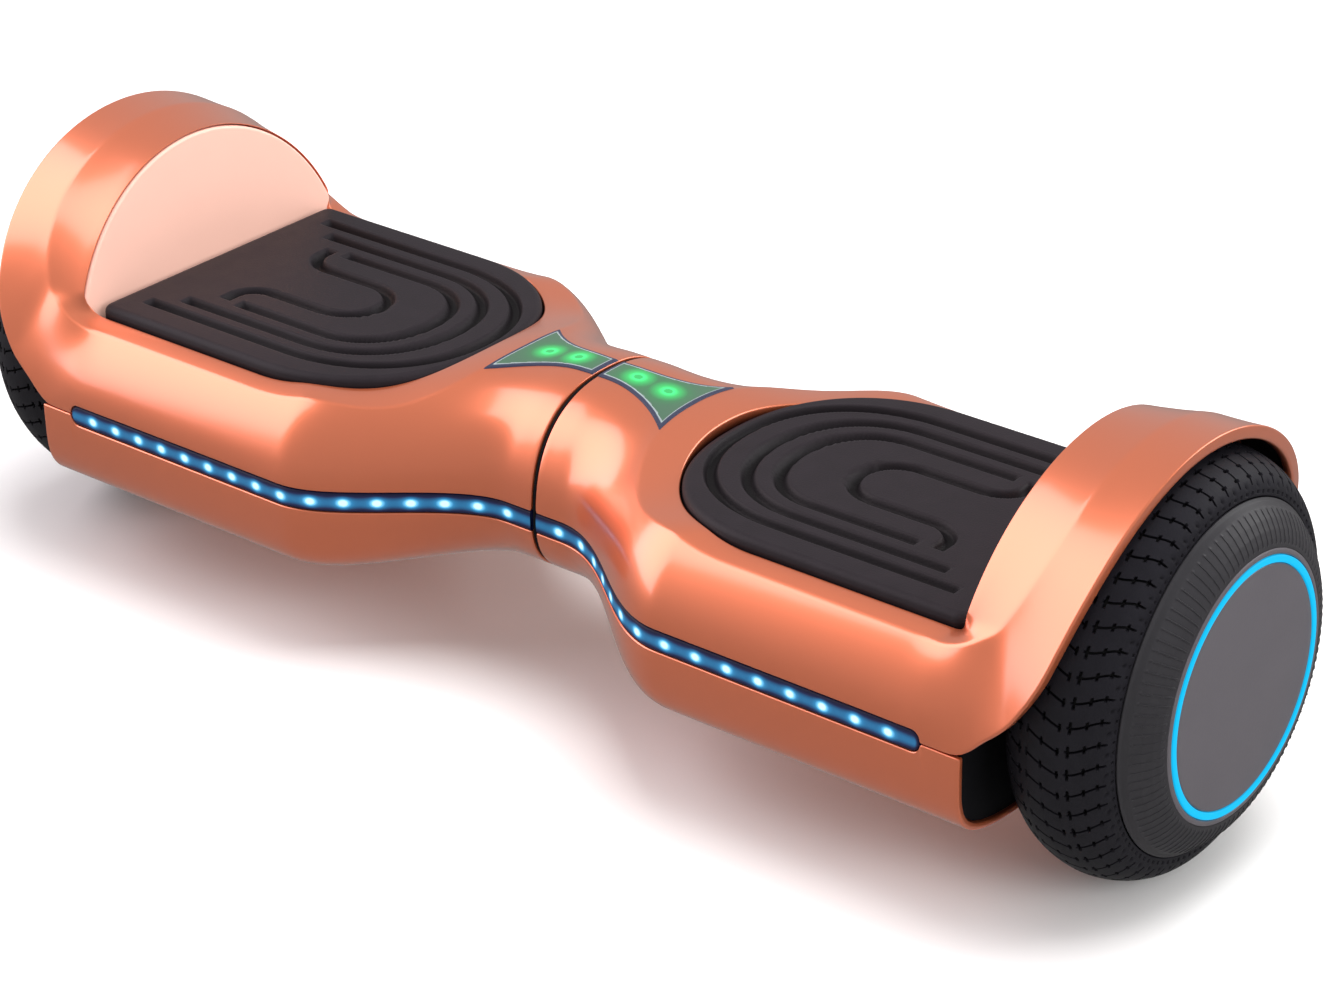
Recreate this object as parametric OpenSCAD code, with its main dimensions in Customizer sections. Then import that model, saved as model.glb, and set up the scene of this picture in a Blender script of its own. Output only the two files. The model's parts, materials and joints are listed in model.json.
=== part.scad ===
// Self balancing two-wheeled board: two half shells on a centre pivot, a hub motor wheel at
// each end, and a sprung rubber footpad on each half.
// +X runs to the right wheel, -Y is the front with the light strip, +Z is up.
// The origin is on the floor, midway between the wheels.

/* [Overall] */
// Distance from the middle to the face of a hub disc
half_len = 300; // [299.8:0.1:300.6]
// Height of the wheel axis and of the centre pivot
axis_z = 84; // [83:1:85]
// Widest half width of the body, on the light strip line
body_half_w = 93.3; // [93:0.1:93.6]
// Half width of the neck at the seam
neck_half_w = 48.3; // [46:0.1:50]
// Height of the light strip line
line_z = 75.5; // [75:0.1:76]
// Wall of the shells
wall = 2.5; // [2:0.1:3]
// Gap from the seam to the end of each shell
seam_gap = 1.2; // [1:0.1:1.6]

/* [Deck and fender] */
// Outboard end of the footpad
pad_end = 222.9; // [220:0.1:223]
// Half width of the footpad
pad_half_w = 70; // [68:0.5:70]
// Top of the footpad
pad_top = 117.8; // [117:0.1:119]
// Outer radius of the fender band about the wheel axis
fender_r = 93; // [92:0.1:93]
// Outboard edge of the fender at its top
fender_edge = 278; // [275:0.5:280]

/* [Wheel] */
// Radius of the tyre
tyre_r = 84; // [82:0.5:84]
// Width of the tyre
tyre_w = 43.6; // [42:0.2:43.6]
// Middle of the tyre
tyre_x = 265.8; // [265.5:0.1:266]
// Radius of the axle
axle_r = 8; // [7:0.5:8]

/* [Hidden] */
round_fn = 96;

// Stations along the half body
neck_end = 14;
wide_start = 98.7;
cover_end = 238;
crease_half_w = 80;
crease_z = 110.5;
ring_z = 113;
strip_h = 8.6;
strip_gap = 0.45;
strip_end = 220.5;
lens_tip_x = 46.3;
lens_tip_y = 24.5;
lens_seam_y = 8.5;

// Body sections: widths, heights and roundness at a distance s from the seam
function blend(a, b, x) = let(t = min(1, max(0, (x - a) / (b - a)))) t * t * (3 - 2 * t);
function mix(a, b, t) = a + (b - a) * t;
function half_w(s) = mix(neck_half_w, body_half_w, blend(neck_end, wide_start, s));
function crown_h(s) = 50.6 - 3 * blend(8, 42, s) + 14 * blend(42, 100, s);
function crown_n(s) = mix(2.45, 2.2, blend(30, 100, s));
function belly_h(s) = mix(32.5, 41, blend(neck_end, wide_start, s));
function belly_n(s) = mix(2.4, 5, blend(20, 105, s));
function arc_y(a, n) = pow(max(0, cos(a)), 2 / n);
function arc_z(a, n) = pow(max(0, sin(a)), 2 / n);
function upper(s, a, inset) = [
  s, (half_w(s) - inset) * arc_y(a, crown_n(s)), line_z + (crown_h(s) - inset) * arc_z(a, crown_n(s))
];
function lower(s, a, inset) = [
  s, (half_w(s) - inset) * arc_y(a, belly_n(s)), line_z - (belly_h(s) - inset) * arc_z(a, belly_n(s))
];
function crown_z(s, y) = line_z + crown_h(s) * pow(1 - pow(abs(y) / half_w(s), crown_n(s)), 1 / crown_n(s));
function angle_at(s, y) = acos(pow(min(1, y / half_w(s)), crown_n(s) / 2));
function angle_up(s, h) = asin(pow(h / crown_h(s), crown_n(s) / 2));

// Outline of the footpad's inner end, and of the crease around it
function pad_arc(a, out) = [128 - (67 + out) * pow(cos(a), 2 / 2.2), (pad_half_w + out) * pow(sin(a), 2 / 2.2)];
function crease_arc(a) = [128 - 83 * pow(cos(a), 2 / 2.5), crease_half_w * pow(sin(a), 2 / 2.5)];

// Fender: the D shaped panel edge, the crease and the rim, by angle from the top of the wheel
d_half_w = 81.5;
d_height = 82.7;
d_mid_z = 89.9;
d_lean = 6.3 / 58;
function d_x(z) = 225.8 + d_lean * (z - 116);
function d_edge(a) = let(z = d_mid_z + d_height * cos(a)) [d_x(z), d_half_w * sin(a), z];
function on_wheel(x, r, q) = [x, r * sin(q), axis_z + r * cos(q)];
function fender_crease_x(q) = 257 - 2 * pow(q / 40, 2) - 9 * pow(max(0, q - 35) / 29, 2);
function fender_crease_r(q) = 92.2 - 4.4 * pow(max(0, q - 25) / 39, 2);
function rim_x(q) = fender_edge - 10 * pow(q / 70, 3) - 0.018 * pow(max(0, q - 68), 2);

// Hand-placed corner between the deck and the fender: [panel or pad edge, crease, outer edge]
corner_keys = [
  [[208, 70.8, 113], [205, 80, 110.5], [204, 93.3, 75.7]],
  [[215, 70.8, 113], [213, 80.2, 110.6], [215, 93.3, 75.7]],
  [[221, 70.8, 113.1], [221, 81.3, 111.6], [227, 93.3, 75.7]],
  [[224.2, 72.4, 115.5], [229, 82.4, 114.1], [238, 93.2, 77]],
  [[225.8, 74.2, 119.6], [236, 81.6, 118], [247.5, 93, 85.4]]
];
fender_a = 65.7;
fender_crease_q = 63.8;
fender_rim_q = 83.5;
function arch_key(e) = let(qc = fender_crease_q * e, qo = fender_rim_q * e) [
  d_edge(fender_a * e), on_wheel(fender_crease_x(qc), fender_crease_r(qc), qc), on_wheel(rim_x(qo), fender_r, qo)
];
function corner_key(i) = i < 5 ? corner_keys[i] : arch_key(1 - (i - 5) * 0.09);
function smooth4(a, b, c, d, t) = 0.5 * (2 * b + (c - a) * t + (2 * a - 5 * b + 4 * c - d) * t * t
  + (3 * b - a - 3 * c + d) * t * t * t);
function corner_at(p) = let(i = floor(p), t = p - i)
  [for (k = [0:2]) smooth4(corner_key(i - 1)[k], corner_key(i)[k], corner_key(i + 1)[k], corner_key(i + 2)[k], t)];

// Edge of the top cover above the light strip line: open for the strip at the front only
function edge_lift(s, front) = front ? mix(strip_h / 2 + strip_gap, 0.2, blend(strip_end, strip_end + 3, s)) : 0.2;

// One column of the top cover: [pad side point, crease, outer edge, crease station and angle, outer
// station and angle, share of the fender's roundness]
function end_column(w, front) = let(
    a = 90 * w, pc = pad_arc(a, 0.8), cc = crease_arc(a), ca = angle_at(cc[0], cc[1]),
    so = w < 0.52 ? seam_gap : mix(seam_gap, 128, pow((w - 0.52) / 0.48, 1.15)),
    ao = w < 0.52 ? mix(90, angle_up(so, edge_lift(so, front)), pow(w / 0.52, 0.9)) : angle_up(so, edge_lift(so, front)),
    cz = upper(cc[0], ca, 0)[2])
  [[pc[0], pc[1], ring_z + 0.55 * (cz - crease_z)], upper(cc[0], ca, 0), upper(so, ao, 0), cc[0], ca, so, ao, 0];
function deck_column(s, front) = let(ca = angle_at(s, crease_half_w), ao = angle_up(s, edge_lift(s, front)))
  [[s, pad_half_w + 0.8, ring_z], upper(s, ca, 0), upper(s, ao, 0), s, ca, s, ao, 0];
function corner_column(p, front) = let(k = corner_at(p), c = k[1], o = k[2], cs = min(c[0], 240), os = min(o[0], 262),
    ca = angle_at(cs, min(c[1], crease_half_w)), lift = max(edge_lift(o[0], front), min(o[2] - line_z, 34)),
    ao = angle_up(os, lift))
  [k[0], c, [o[0], o[1], max(o[2], line_z + edge_lift(o[0], front))], cs, ca, os, ao, blend(1.2, 4.4, p)];
function arch_column(e) = let(k = arch_key(e)) [k[0], k[1], k[2], 240, 45, 262, 30, 1];

// A point of the top cover at t from the crease (0) to the outer edge (1)
function skin(col, t, inset) = let(
    s = mix(col[3], col[5], t), a = mix(col[4], col[6], t),
    c = col[1], o = col[2],
    body = upper(s, a, inset) + (1 - t) * (1 - t) * (c - upper(col[3], col[4], 0)) + t * t * (o - upper(col[5], col[6], 0)),
    rc = norm([c[1], c[2] - axis_z]), ro = norm([o[1], o[2] - axis_z]),
    qc = atan2(c[1], c[2] - axis_z), qo = atan2(o[1], o[2] - axis_z),
    arch = on_wheel(mix(c[0], o[0], t), mix(rc, ro, sin(90 * t)) - inset, mix(qc, qo, t)))
  mix(body, arch, col[7]);
function ring_point(col, t, inset) = let(c = skin(col, 0, inset),
    i = col[0] + (col[7] > 0.5 ? [inset, -0.32 * inset * sin(col_angle(col)), -0.32 * inset * cos(col_angle(col))]
      : [0, 0, -inset]))
  mix(i, c, t) + [0, 0, t > 0 && t < 1 ? 0.35 : 0];
function col_angle(col) = atan2(col[0][1], col[0][2] - axis_z);
skin_rows = [0.12, 0.3, 0.5, 0.7, 0.87, 1];
function cover_line(col, inset) = concat([ring_point(col, 0, inset), ring_point(col, 1, inset)],
  [for (t = skin_rows) skin(col, t, inset)]);
function half_columns(front) = concat(
  [for (i = [0:15]) end_column(i / 15, front)],
  [for (s = [143:15:203]) deck_column(s, front)],
  [for (p = [1, 1.5, 1.7, 2, 2.5, 3, 3.5, 4, 4.5, 5]) corner_column(p, front)],
  [for (i = [1:11]) arch_column(1 - i / 11)]);
function flip_y(p) = [p[0], -p[1], p[2]];

// Closed tube of quads: rings of points that close on themselves, and the last ring meets the first
module closed_mesh(rings) {
  n = len(rings);
  m = len(rings[0]);
  pts = [for (r = rings, p = r) p];
  quads = [for (i = [0:n - 1], j = [0:m - 1]) let(k = (i + 1) % n, l = (j + 1) % m)
    [i * m + j, i * m + l, k * m + l, k * m + j]];
  polyhedron(points = pts, faces = [for (q = quads, h = [0, 1]) h == 0 ? [q[2], q[1], q[0]] : [q[3], q[2], q[0]]]);
}

// Closed shell with flat ends: rings of points from one end to the other
module capped_mesh(rings) {
  n = len(rings);
  m = len(rings[0]);
  pts = [for (r = rings, p = r) p];
  quads = [for (i = [0:n - 2], j = [0:m - 1]) let(l = (j + 1) % m)
    [i * m + j, i * m + l, (i + 1) * m + l, (i + 1) * m + j]];
  sides = [for (q = quads, h = [0, 1]) h == 0 ? [q[2], q[1], q[0]] : [q[3], q[2], q[0]]];
  caps = [[for (j = [0:m - 1]) j], [for (j = [m - 1:-1:0]) (n - 1) * m + j]];
  polyhedron(points = pts, faces = concat(sides, caps));
}

module on_side(side) {
  if (side > 0) {
    children();
  } else {
    mirror([1, 0, 0]) children();
  }
}

module along_x(x) {
  translate([x, 0, axis_z]) rotate([0, 90, 0]) children();
}

// A ring about the wheel axis from x0 to x1
module wheel_ring(x0, x1, outer, inner) {
  along_x(x0) difference() {
    cylinder(r = outer, h = x1 - x0, $fn = round_fn);
    translate([0, 0, -1]) cylinder(r = inner, h = x1 - x0 + 2, $fn = round_fn);
  }
}

module block(x0, x1, y0, y1, z0, z1) {
  translate([x0, y0, z0]) cube([x1 - x0, y1 - y0, z1 - z0]);
}

module post(x, y, z0, z1, r) {
  translate([x, y, z0]) cylinder(r = r, h = z1 - z0, $fn = 32);
}

// Top cover of one half, with its fender arch
module top_cover(side) {
  front = half_columns(true);
  rear = half_columns(false);
  n = len(front);
  loop = concat([for (i = [0:n - 1]) [front[i], true]], [for (i = [n - 2:-1:1]) [rear[i], false]]);
  rings = [for (c = loop) let(line = concat(cover_line(c[0], 0), [for (k = [7:-1:0]) cover_line(c[0], wall)[k]]))
    c[1] ? [for (p = line) flip_y(p)] : line];
  color([0.9, 0.6, 0.46]) on_side(side) closed_mesh(rings);
}
module top_cover_left() { top_cover(-1); }
module top_cover_right() { top_cover(1); }

// Bottom cover of one half: screw recesses on the belly, and on the left the switch and socket holes
screw_places = [[40, 0], [84, -52], [84, 52], [150, -66], [150, 66], [218, -66], [218, 66]];
function cover_drop(s, front) = front ? edge_lift(s, true) : 0.2;
function belly_z(s, y) = line_z - belly_h(s) * pow(1 - pow(abs(y) / half_w(s), belly_n(s)), 1 / belly_n(s));
head_sink = 1.3;
function belly_angle(s, h) = asin(pow(h / belly_h(s), belly_n(s) / 2));
function belly_ring(s, inset) = let(
    a0 = belly_angle(s, cover_drop(s, true)), a1 = belly_angle(s, cover_drop(s, false)))
  concat([for (i = [0:9]) flip_y(lower(s, mix(a0, 90, pow(i / 10, 0.9)), inset))],
    [for (i = [10:-1:0]) lower(s, mix(a1, 90, pow(i / 10, 0.9)), inset)]);
cover_stations = concat([seam_gap], [for (s = [14:8:110]) s], [for (s = [125:19:201]) s], [217, 220.5, 222, 223.5, cover_end]);
module bottom_cover(side) {
  rings = [for (s = cover_stations) let(o = belly_ring(s, 0), i = belly_ring(s, wall), n = len(o))
    concat(o, [for (k = [n - 1:-1:0]) i[k]])];
  color([0.86, 0.55, 0.42]) on_side(side) resize([0, 0, 0]) difference() {
    capped_mesh(rings);
    for (p = screw_places) {
      post(p[0], p[1], 20, 60, 2.2);
      post(p[0], p[1], 20, belly_z(p[0], p[1]) + head_sink, 4.1);
    }
    if (side < 0) {
      translate([button_x, 80, control_z]) rotate([-90, 0, 0]) cylinder(r = 9.7, h = 20, $fn = 48);
      translate([socket_x, 80, control_z]) rotate([-90, 0, 0]) cylinder(r = 9.7, h = 20, $fn = 48);
    }
  }
}
module bottom_cover_left() { bottom_cover(-1); }
module bottom_cover_right() { bottom_cover(1); }

// D shaped panel inside the fender arch, in its own leaning plane
panel_gap = 1.7;
panel_t = 1.8;
panel_foot_z = 108;
lean_angle = atan(d_lean);
function panel_side(a) = [d_mid_z + (d_height - panel_gap) * cos(a), (d_half_w - panel_gap) * sin(a)];
panel_half = concat([[panel_foot_z, 0], [panel_foot_z, 66], [113, 70], [118, 72]],
  [for (a = [65:-5:0]) panel_side(a)]);
module fender_panel(side) {
  n = len(panel_half);
  outline = concat([for (i = [1:n - 1]) panel_half[i]], [for (i = [n - 2:-1:1]) [panel_half[i][0], -panel_half[i][1]]]);
  flat = [for (p = outline) [(p[0] - panel_foot_z) / cos(lean_angle), p[1]]];
  color([0.93, 0.66, 0.53]) on_side(side)
    translate([d_x(panel_foot_z) - 0.3, 0, panel_foot_z]) rotate([0, lean_angle - 90, 0])
      translate([0, 0, -panel_t]) linear_extrude(panel_t) polygon(flat);
}
module fender_panel_left() { fender_panel(-1); }
module fender_panel_right() { fender_panel(1); }

// Black liner of the wheel well: an end wall of the body's shape and an arch over the tyre
liner_x = 235.2;
liner_t = 1.5;
liner_r = 83.4;
liner_gap = 0.3;
liner_rows = [0.12, 0.3, 0.5, 0.7, 0.87];
module liner_outline() {
  lower_half = [for (a = [0:10:180]) let(p = lower(230, a > 90 ? 180 - a : a, wall + 0.4))
    [-p[2], a > 90 ? p[1] : -p[1]]];
  upper_half = [for (a = [80:-8:-80]) [-(axis_z + liner_r * cos(a)), liner_r * sin(a)]];
  polygon(concat(lower_half, upper_half));
}
module fender_liner(side) {
  color([0.04, 0.04, 0.045]) on_side(side) {
    difference() {
      translate([liner_x, 0, 0]) rotate([0, 90, 0]) linear_extrude(liner_t) liner_outline();
      along_x(liner_x - 1) cylinder(r = 17, h = 4, $fn = 48);
    }
    arch = [for (i = [0:16]) arch_column(1 - i / 16)];
    n = len(arch);
    loop = concat([for (c = arch) [c, true]], [for (i = [n - 2:-1:0]) [arch[i], false]]);
    capped_mesh([for (c = loop) let(
        line = concat([for (t = liner_rows) skin(c[0], t, wall + liner_gap)],
          [for (k = [len(liner_rows) - 1:-1:0]) skin(c[0], liner_rows[k], wall + liner_gap + 1)]))
      c[1] ? [for (p = line) flip_y(p)] : line]);
  }
}
module fender_liner_left() { fender_liner(-1); }
module fender_liner_right() { fender_liner(1); }

// Outline of the footpad, shrunk by an inset
function pad_outline(inset) = concat(
  [[pad_end - inset, -(pad_half_w - inset) + 5], [pad_end - inset - 5, -(pad_half_w - inset)]],
  [for (a = [90:-6:-90]) let(p = pad_arc(abs(a), -inset)) [p[0], a > 0 ? -p[1] : p[1]]],
  [[pad_end - inset - 5, pad_half_w - inset], [pad_end - inset, pad_half_w - inset - 5]]);
pad_bottom = 109.6;
groove_depth = 1.6;
groove_w = 6;
plungers = [[100, -38], [100, 38], [198, -38], [198, 38]];
module groove(inset, open_x) {
  intersection() {
    difference() {
      polygon(pad_outline(inset));
      polygon(pad_outline(inset + groove_w));
    }
    translate([0, -100]) square([open_x, 200]);
  }
}
module footpad(side) {
  color([0.13, 0.11, 0.13]) on_side(side) {
    difference() {
      union() {
        translate([0, 0, pad_bottom]) linear_extrude(pad_top - 1.2 - pad_bottom) polygon(pad_outline(0));
        translate([0, 0, pad_top - 1.2]) linear_extrude(1.2) polygon(pad_outline(1));
      }
      translate([0, 0, pad_top - groove_depth]) linear_extrude(5) {
        groove(12, 206);
        groove(24, 196);
        groove(36, 184);
      }
    }
    for (p = plungers) {
      post(p[0], p[1], pad_bottom - 16, pad_bottom, 3.5);
    }
  }
}
module footpad_left() { footpad(-1); }
module footpad_right() { footpad(1); }

// Tray that carries the footpad on its springy rim
tray_top = 107.8;
module footpad_tray(side) {
  color([0.08, 0.08, 0.09]) on_side(side) difference() {
    union() {
      translate([0, 0, tray_top - 3]) linear_extrude(3) intersection() {
        polygon(pad_outline(-3));
        translate([0, -100]) square([pad_end + 1, 200]);
      }
      translate([0, 0, tray_top]) linear_extrude(1.5) intersection() {
        difference() {
          polygon(pad_outline(-3));
          polygon(pad_outline(-0.8));
        }
        translate([0, -100]) square([pad_end - 6, 200]);
      }
    }
    for (p = plungers) {
      post(p[0], p[1], 100, 112, 4.4);
    }
  }
}
module footpad_tray_left() { footpad_tray(-1); }
module footpad_tray_right() { footpad_tray(1); }

// Cast chassis of one half: deck plate with ribs, tray posts, pivot housing and axle seat
plate_z = 79;
plate_t = 4;
seat_x0 = 190;
seat_x1 = 224;
tube_r = 12;
housing_r = 20;
bush_r = 15;
module chassis(side) {
  color([0.62, 0.63, 0.65]) on_side(side) difference() {
    union() {
      block(72, seat_x1, -70, 70, plate_z, plate_z + plate_t);
      block(30, 74, -24, 24, plate_z - 9, plate_z + plate_t);
      along_x(6) cylinder(r = housing_r, h = 62, $fn = round_fn);
      for (y = [-68, 64]) {
        block(80, seat_x1, y, y + 4, plate_z - 10, plate_z + plate_t + 10);
      }
      for (y = [-30, 26]) {
        block(66, seat_x0 + 2, y, y + 4, plate_z, plate_z + plate_t + 8);
      }
      for (x = [110, 150]) {
        block(x, x + 4, -66, 66, plate_z, plate_z + plate_t + 5);
      }
      block(seat_x0, seat_x1, -30, 30, plate_z - 19, axis_z);
      for (p = [[86, -50], [86, 50], [212, -50], [212, 50]]) {
        post(p[0], p[1], plate_z, tray_top - 3, 5);
      }
      for (p = screw_places) {
        post(p[0], p[1], belly_z(p[0], p[1]) + wall + 0.8, p[0] < 72 ? plate_z - 9 : plate_z, 5);
      }
    }
    for (p = screw_places) {
      post(p[0], p[1], 30, belly_z(p[0], p[1]) + screw_len + 1, 2);
    }
    along_x(0) cylinder(r = side > 0 ? bush_r : tube_r, h = 70, $fn = round_fn);
    along_x(68.4) cylinder(r = 17, h = 25, $fn = round_fn);
    along_x(seat_x0 - 1) cylinder(r = axle_r, h = seat_x1 - seat_x0 + 2, $fn = round_fn);
    for (x = [128, 172], y = [-48, 48]) {
      post(x, y, plate_z - 1, plate_z + plate_t + 1, 8);
    }
  }
}
module chassis_left() { chassis(-1); }
module chassis_right() { chassis(1); }

// Black plate that closes each half at the seam
module neck_plate(side) {
  ring_pts = concat([for (a = [0:9:90]) upper(2, a, wall + 0.5)], [for (a = [81:-9:0]) flip_y(upper(2, a, wall + 0.5))],
    [for (a = [9:9:90]) flip_y(lower(2, a, wall + 0.5))], [for (a = [81:-9:9]) lower(2, a, wall + 0.5)]);
  color([0.03, 0.03, 0.035]) on_side(side) difference() {
    translate([1.4, 0, 0]) rotate([90, 0, 90]) linear_extrude(2.6) polygon([for (p = ring_pts) [p[1], p[2]]]);
    along_x(0) cylinder(r = tube_r + 0.6, h = 8, $fn = round_fn);
  }
}
module neck_plate_left() { neck_plate(-1); }
module neck_plate_right() { neck_plate(1); }

// Pivot: a steel tube fixed in the left chassis that turns in two bushes in the right one
module pivot_tube() {
  color([0.7, 0.7, 0.72]) difference() {
    along_x(-66) cylinder(r = tube_r, h = 140, $fn = round_fn);
    along_x(-68) cylinder(r = tube_r - 2.5, h = 144, $fn = round_fn);
    along_x(71) difference() {
      cylinder(r = tube_r + 1, h = 1.5, $fn = round_fn);
      translate([0, 0, -1]) cylinder(r = tube_r - 1, h = 4, $fn = round_fn);
    }
  }
}
module pivot_bushes() {
  color([0.9, 0.88, 0.8]) {
    wheel_ring(6, 26, bush_r, tube_r + 0.05);
    wheel_ring(48, 68, bush_r, tube_r + 0.05);
  }
}
module pivot_circlip() {
  color([0.2, 0.2, 0.22]) difference() {
    along_x(71.2) cylinder(r = 15, h = 1.1, $fn = round_fn);
    along_x(70) cylinder(r = tube_r - 0.9, h = 4, $fn = round_fn);
    block(70, 74, -1.5, 1.5, axis_z, axis_z + 20);
  }
}

// Wires from the main board through the pivot tube
module wiring_harness() {
  color([0.1, 0.1, 0.1]) {
    along_x(-84) cylinder(r = 5, h = 166, $fn = 24);
    translate([82, 0, axis_z]) sphere(r = 6.5, $fn = 24);
  }
}

// Wheel: a fixed axle and stator inside a rotor that carries the tyre
rim_x0 = 241;
rim_x1 = 283;
rim_r = 60;
magnet_r = 55;
module axle(side) {
  color([0.72, 0.73, 0.75]) on_side(side) along_x(seat_x0) cylinder(r = axle_r, h = rim_x1 - 5 - seat_x0, $fn = round_fn);
}
module axle_left() { axle(-1); }
module axle_right() { axle(1); }

clamp_gap = 0.5;
module axle_clamp(side) {
  color([0.55, 0.56, 0.58]) on_side(side) {
    difference() {
      block(seat_x0, seat_x1, -24, 24, axis_z + clamp_gap, axis_z + 14);
      along_x(seat_x0 - 1) cylinder(r = axle_r, h = seat_x1 - seat_x0 + 2, $fn = round_fn);
    }
    for (x = [seat_x0 + 8, seat_x1 - 8], y = [-17, 17]) {
      translate([x, y, axis_z + 14]) cylinder(r = 4.5, h = 4.5, $fn = 6);
    }
  }
}
module axle_clamp_left() { axle_clamp(-1); }
module axle_clamp_right() { axle_clamp(1); }

teeth = 27;
module motor_stator(side) {
  color([0.72, 0.42, 0.2]) on_side(side) {
    wheel_ring(252, 268, 32, axle_r);
    for (i = [0:teeth - 1]) {
      along_x(250) rotate([0, 0, i * 360 / teeth]) translate([31, -2.6, 0]) cube([19, 5.2, 20]);
    }
  }
}
module motor_stator_left() { motor_stator(-1); }
module motor_stator_right() { motor_stator(1); }

magnets = 30;
module magnet_ring(side) {
  color([0.45, 0.46, 0.48]) on_side(side) for (i = [0:magnets - 1]) {
    along_x(249) rotate([0, 0, i * 360 / magnets]) translate([51.5, -4.9, 0]) cube([3, 9.8, 22]);
  }
}
module magnet_ring_left() { magnet_ring(-1); }
module magnet_ring_right() { magnet_ring(1); }

bearing_r = 16;
module wheel_rim(side) {
  color([0.3, 0.3, 0.32]) on_side(side) {
    wheel_ring(rim_x0 + 4, rim_x1, rim_r, magnet_r);
    along_x(rim_x1 - 4) cylinder(r = magnet_r + 1, h = 4, $fn = round_fn);
    wheel_ring(rim_x1 - 12, rim_x1 - 4, bearing_r + 4, bearing_r);
  }
}
module wheel_rim_left() { wheel_rim(-1); }
module wheel_rim_right() { wheel_rim(1); }

module motor_cover(side) {
  color([0.33, 0.33, 0.35]) on_side(side) {
    wheel_ring(rim_x0, rim_x0 + 4, rim_r, bearing_r);
    wheel_ring(rim_x0 + 4, rim_x0 + 8, bearing_r + 4, bearing_r);
    for (i = [0:7]) {
      along_x(rim_x0 - 1.5) rotate([0, 0, i * 45]) translate([50, 0, 0]) cylinder(r = 3, h = 1.5, $fn = 24);
    }
  }
}
module motor_cover_left() { motor_cover(-1); }
module motor_cover_right() { motor_cover(1); }

module wheel_bearings(side) {
  color([0.8, 0.8, 0.82]) on_side(side) {
    wheel_ring(rim_x0 - 0.5, rim_x0 + 7.5, bearing_r, axle_r + 0.05);
    wheel_ring(rim_x1 - 12, rim_x1 - 4.5, bearing_r, axle_r + 0.05);
  }
}
module wheel_bearings_left() { wheel_bearings(-1); }
module wheel_bearings_right() { wheel_bearings(1); }

// Tyre section as [radius, distance from the tyre's middle]: a round crown on straight bead walls
bead_w = 17.2;
crown_drop = 13;
crown_round = 1.85;
module tyre(side) {
  w = tyre_w / 2;
  half = concat([[rim_r, bead_w], [66, bead_w + 1.7], [69, w - 0.7]],
    [for (a = [90:-14:20]) [tyre_r - crown_drop * (1 - pow(cos(a), 2 / crown_round)), w * pow(sin(a), 2 / crown_round)]],
    [[tyre_r, 2.5]]);
  n = len(half);
  section = concat(half, [for (i = [n - 1:-1:0]) [half[i][0], -half[i][1]]]);
  color([0.07, 0.07, 0.08]) on_side(side) along_x(tyre_x) rotate_extrude($fn = round_fn) polygon(section);
}
module tyre_left() { tyre(-1); }
module tyre_right() { tyre(1); }

// Hub trim: ribbed cone from the tyre's bead to the disc, the disc, and the light ring let into it
cone_r = 68.5;
disc_r = 53;
ring_in = 47.6;
ring_out = 50.6;
module hub_cone(side) {
  section = [[56, rim_x1], [59.8, rim_x1], [59.8, 283.9], [66.2, 285.4], [cone_r, 287], [cone_r, 287.6], [66.5, 291],
    [63, 294.4], [59.5, 296.8], [56.5, 298.2], [disc_r + 0.1, 299], [disc_r + 0.1, 296], [58, 294.4], [61, 291.5],
    [61, 286], [56, 286]];
  color([0.24, 0.24, 0.26]) on_side(side) along_x(0) rotate_extrude($fn = round_fn) polygon(section);
}
module hub_cone_left() { hub_cone(-1); }
module hub_cone_right() { hub_cone(1); }

module hub_disc(side) {
  color([0.42, 0.42, 0.44]) on_side(side) difference() {
    union() {
      along_x(296) cylinder(r = disc_r, h = half_len - 0.6 - 296, $fn = round_fn);
      wheel_ring(rim_x1, 296, 40, 34);
    }
    along_x(298) difference() {
      cylinder(r = ring_out + 0.1, h = 4, $fn = round_fn);
      translate([0, 0, -1]) cylinder(r = ring_in - 0.1, h = 6, $fn = round_fn);
    }
  }
}
module hub_disc_left() { hub_disc(-1); }
module hub_disc_right() { hub_disc(1); }

module ring_light(side) {
  color([0, 0.78, 1]) on_side(side) wheel_ring(298, half_len, ring_out, ring_in);
}
module ring_light_left() { ring_light(-1); }
module ring_light_right() { ring_light(1); }

// Light strip along the front, its board with lamps behind it, and the arrow shaped indicator
strip_stations = concat([seam_gap + 0.3], [for (s = [10:8:106]) s], [for (s = [125:19:201]) s], [212, 218, strip_end]);
function strip_point(s, dz, inset) = [s, -(half_w(s) - inset), line_z + dz * (s > strip_end - 1 ? 0.6 : 1)];
module band(stations, dz, in0, in1) {
  capped_mesh([for (s = stations) [strip_point(s, -dz, in0), strip_point(s, -dz, in1), strip_point(s, dz, in1),
    strip_point(s, dz, in0)]]);
}
module led_strip(side) {
  color([0.1, 0.3, 0.75]) on_side(side) band(strip_stations, strip_h / 2, 0.3, 2.6);
}
module led_strip_left() { led_strip(-1); }
module led_strip_right() { led_strip(1); }

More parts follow.
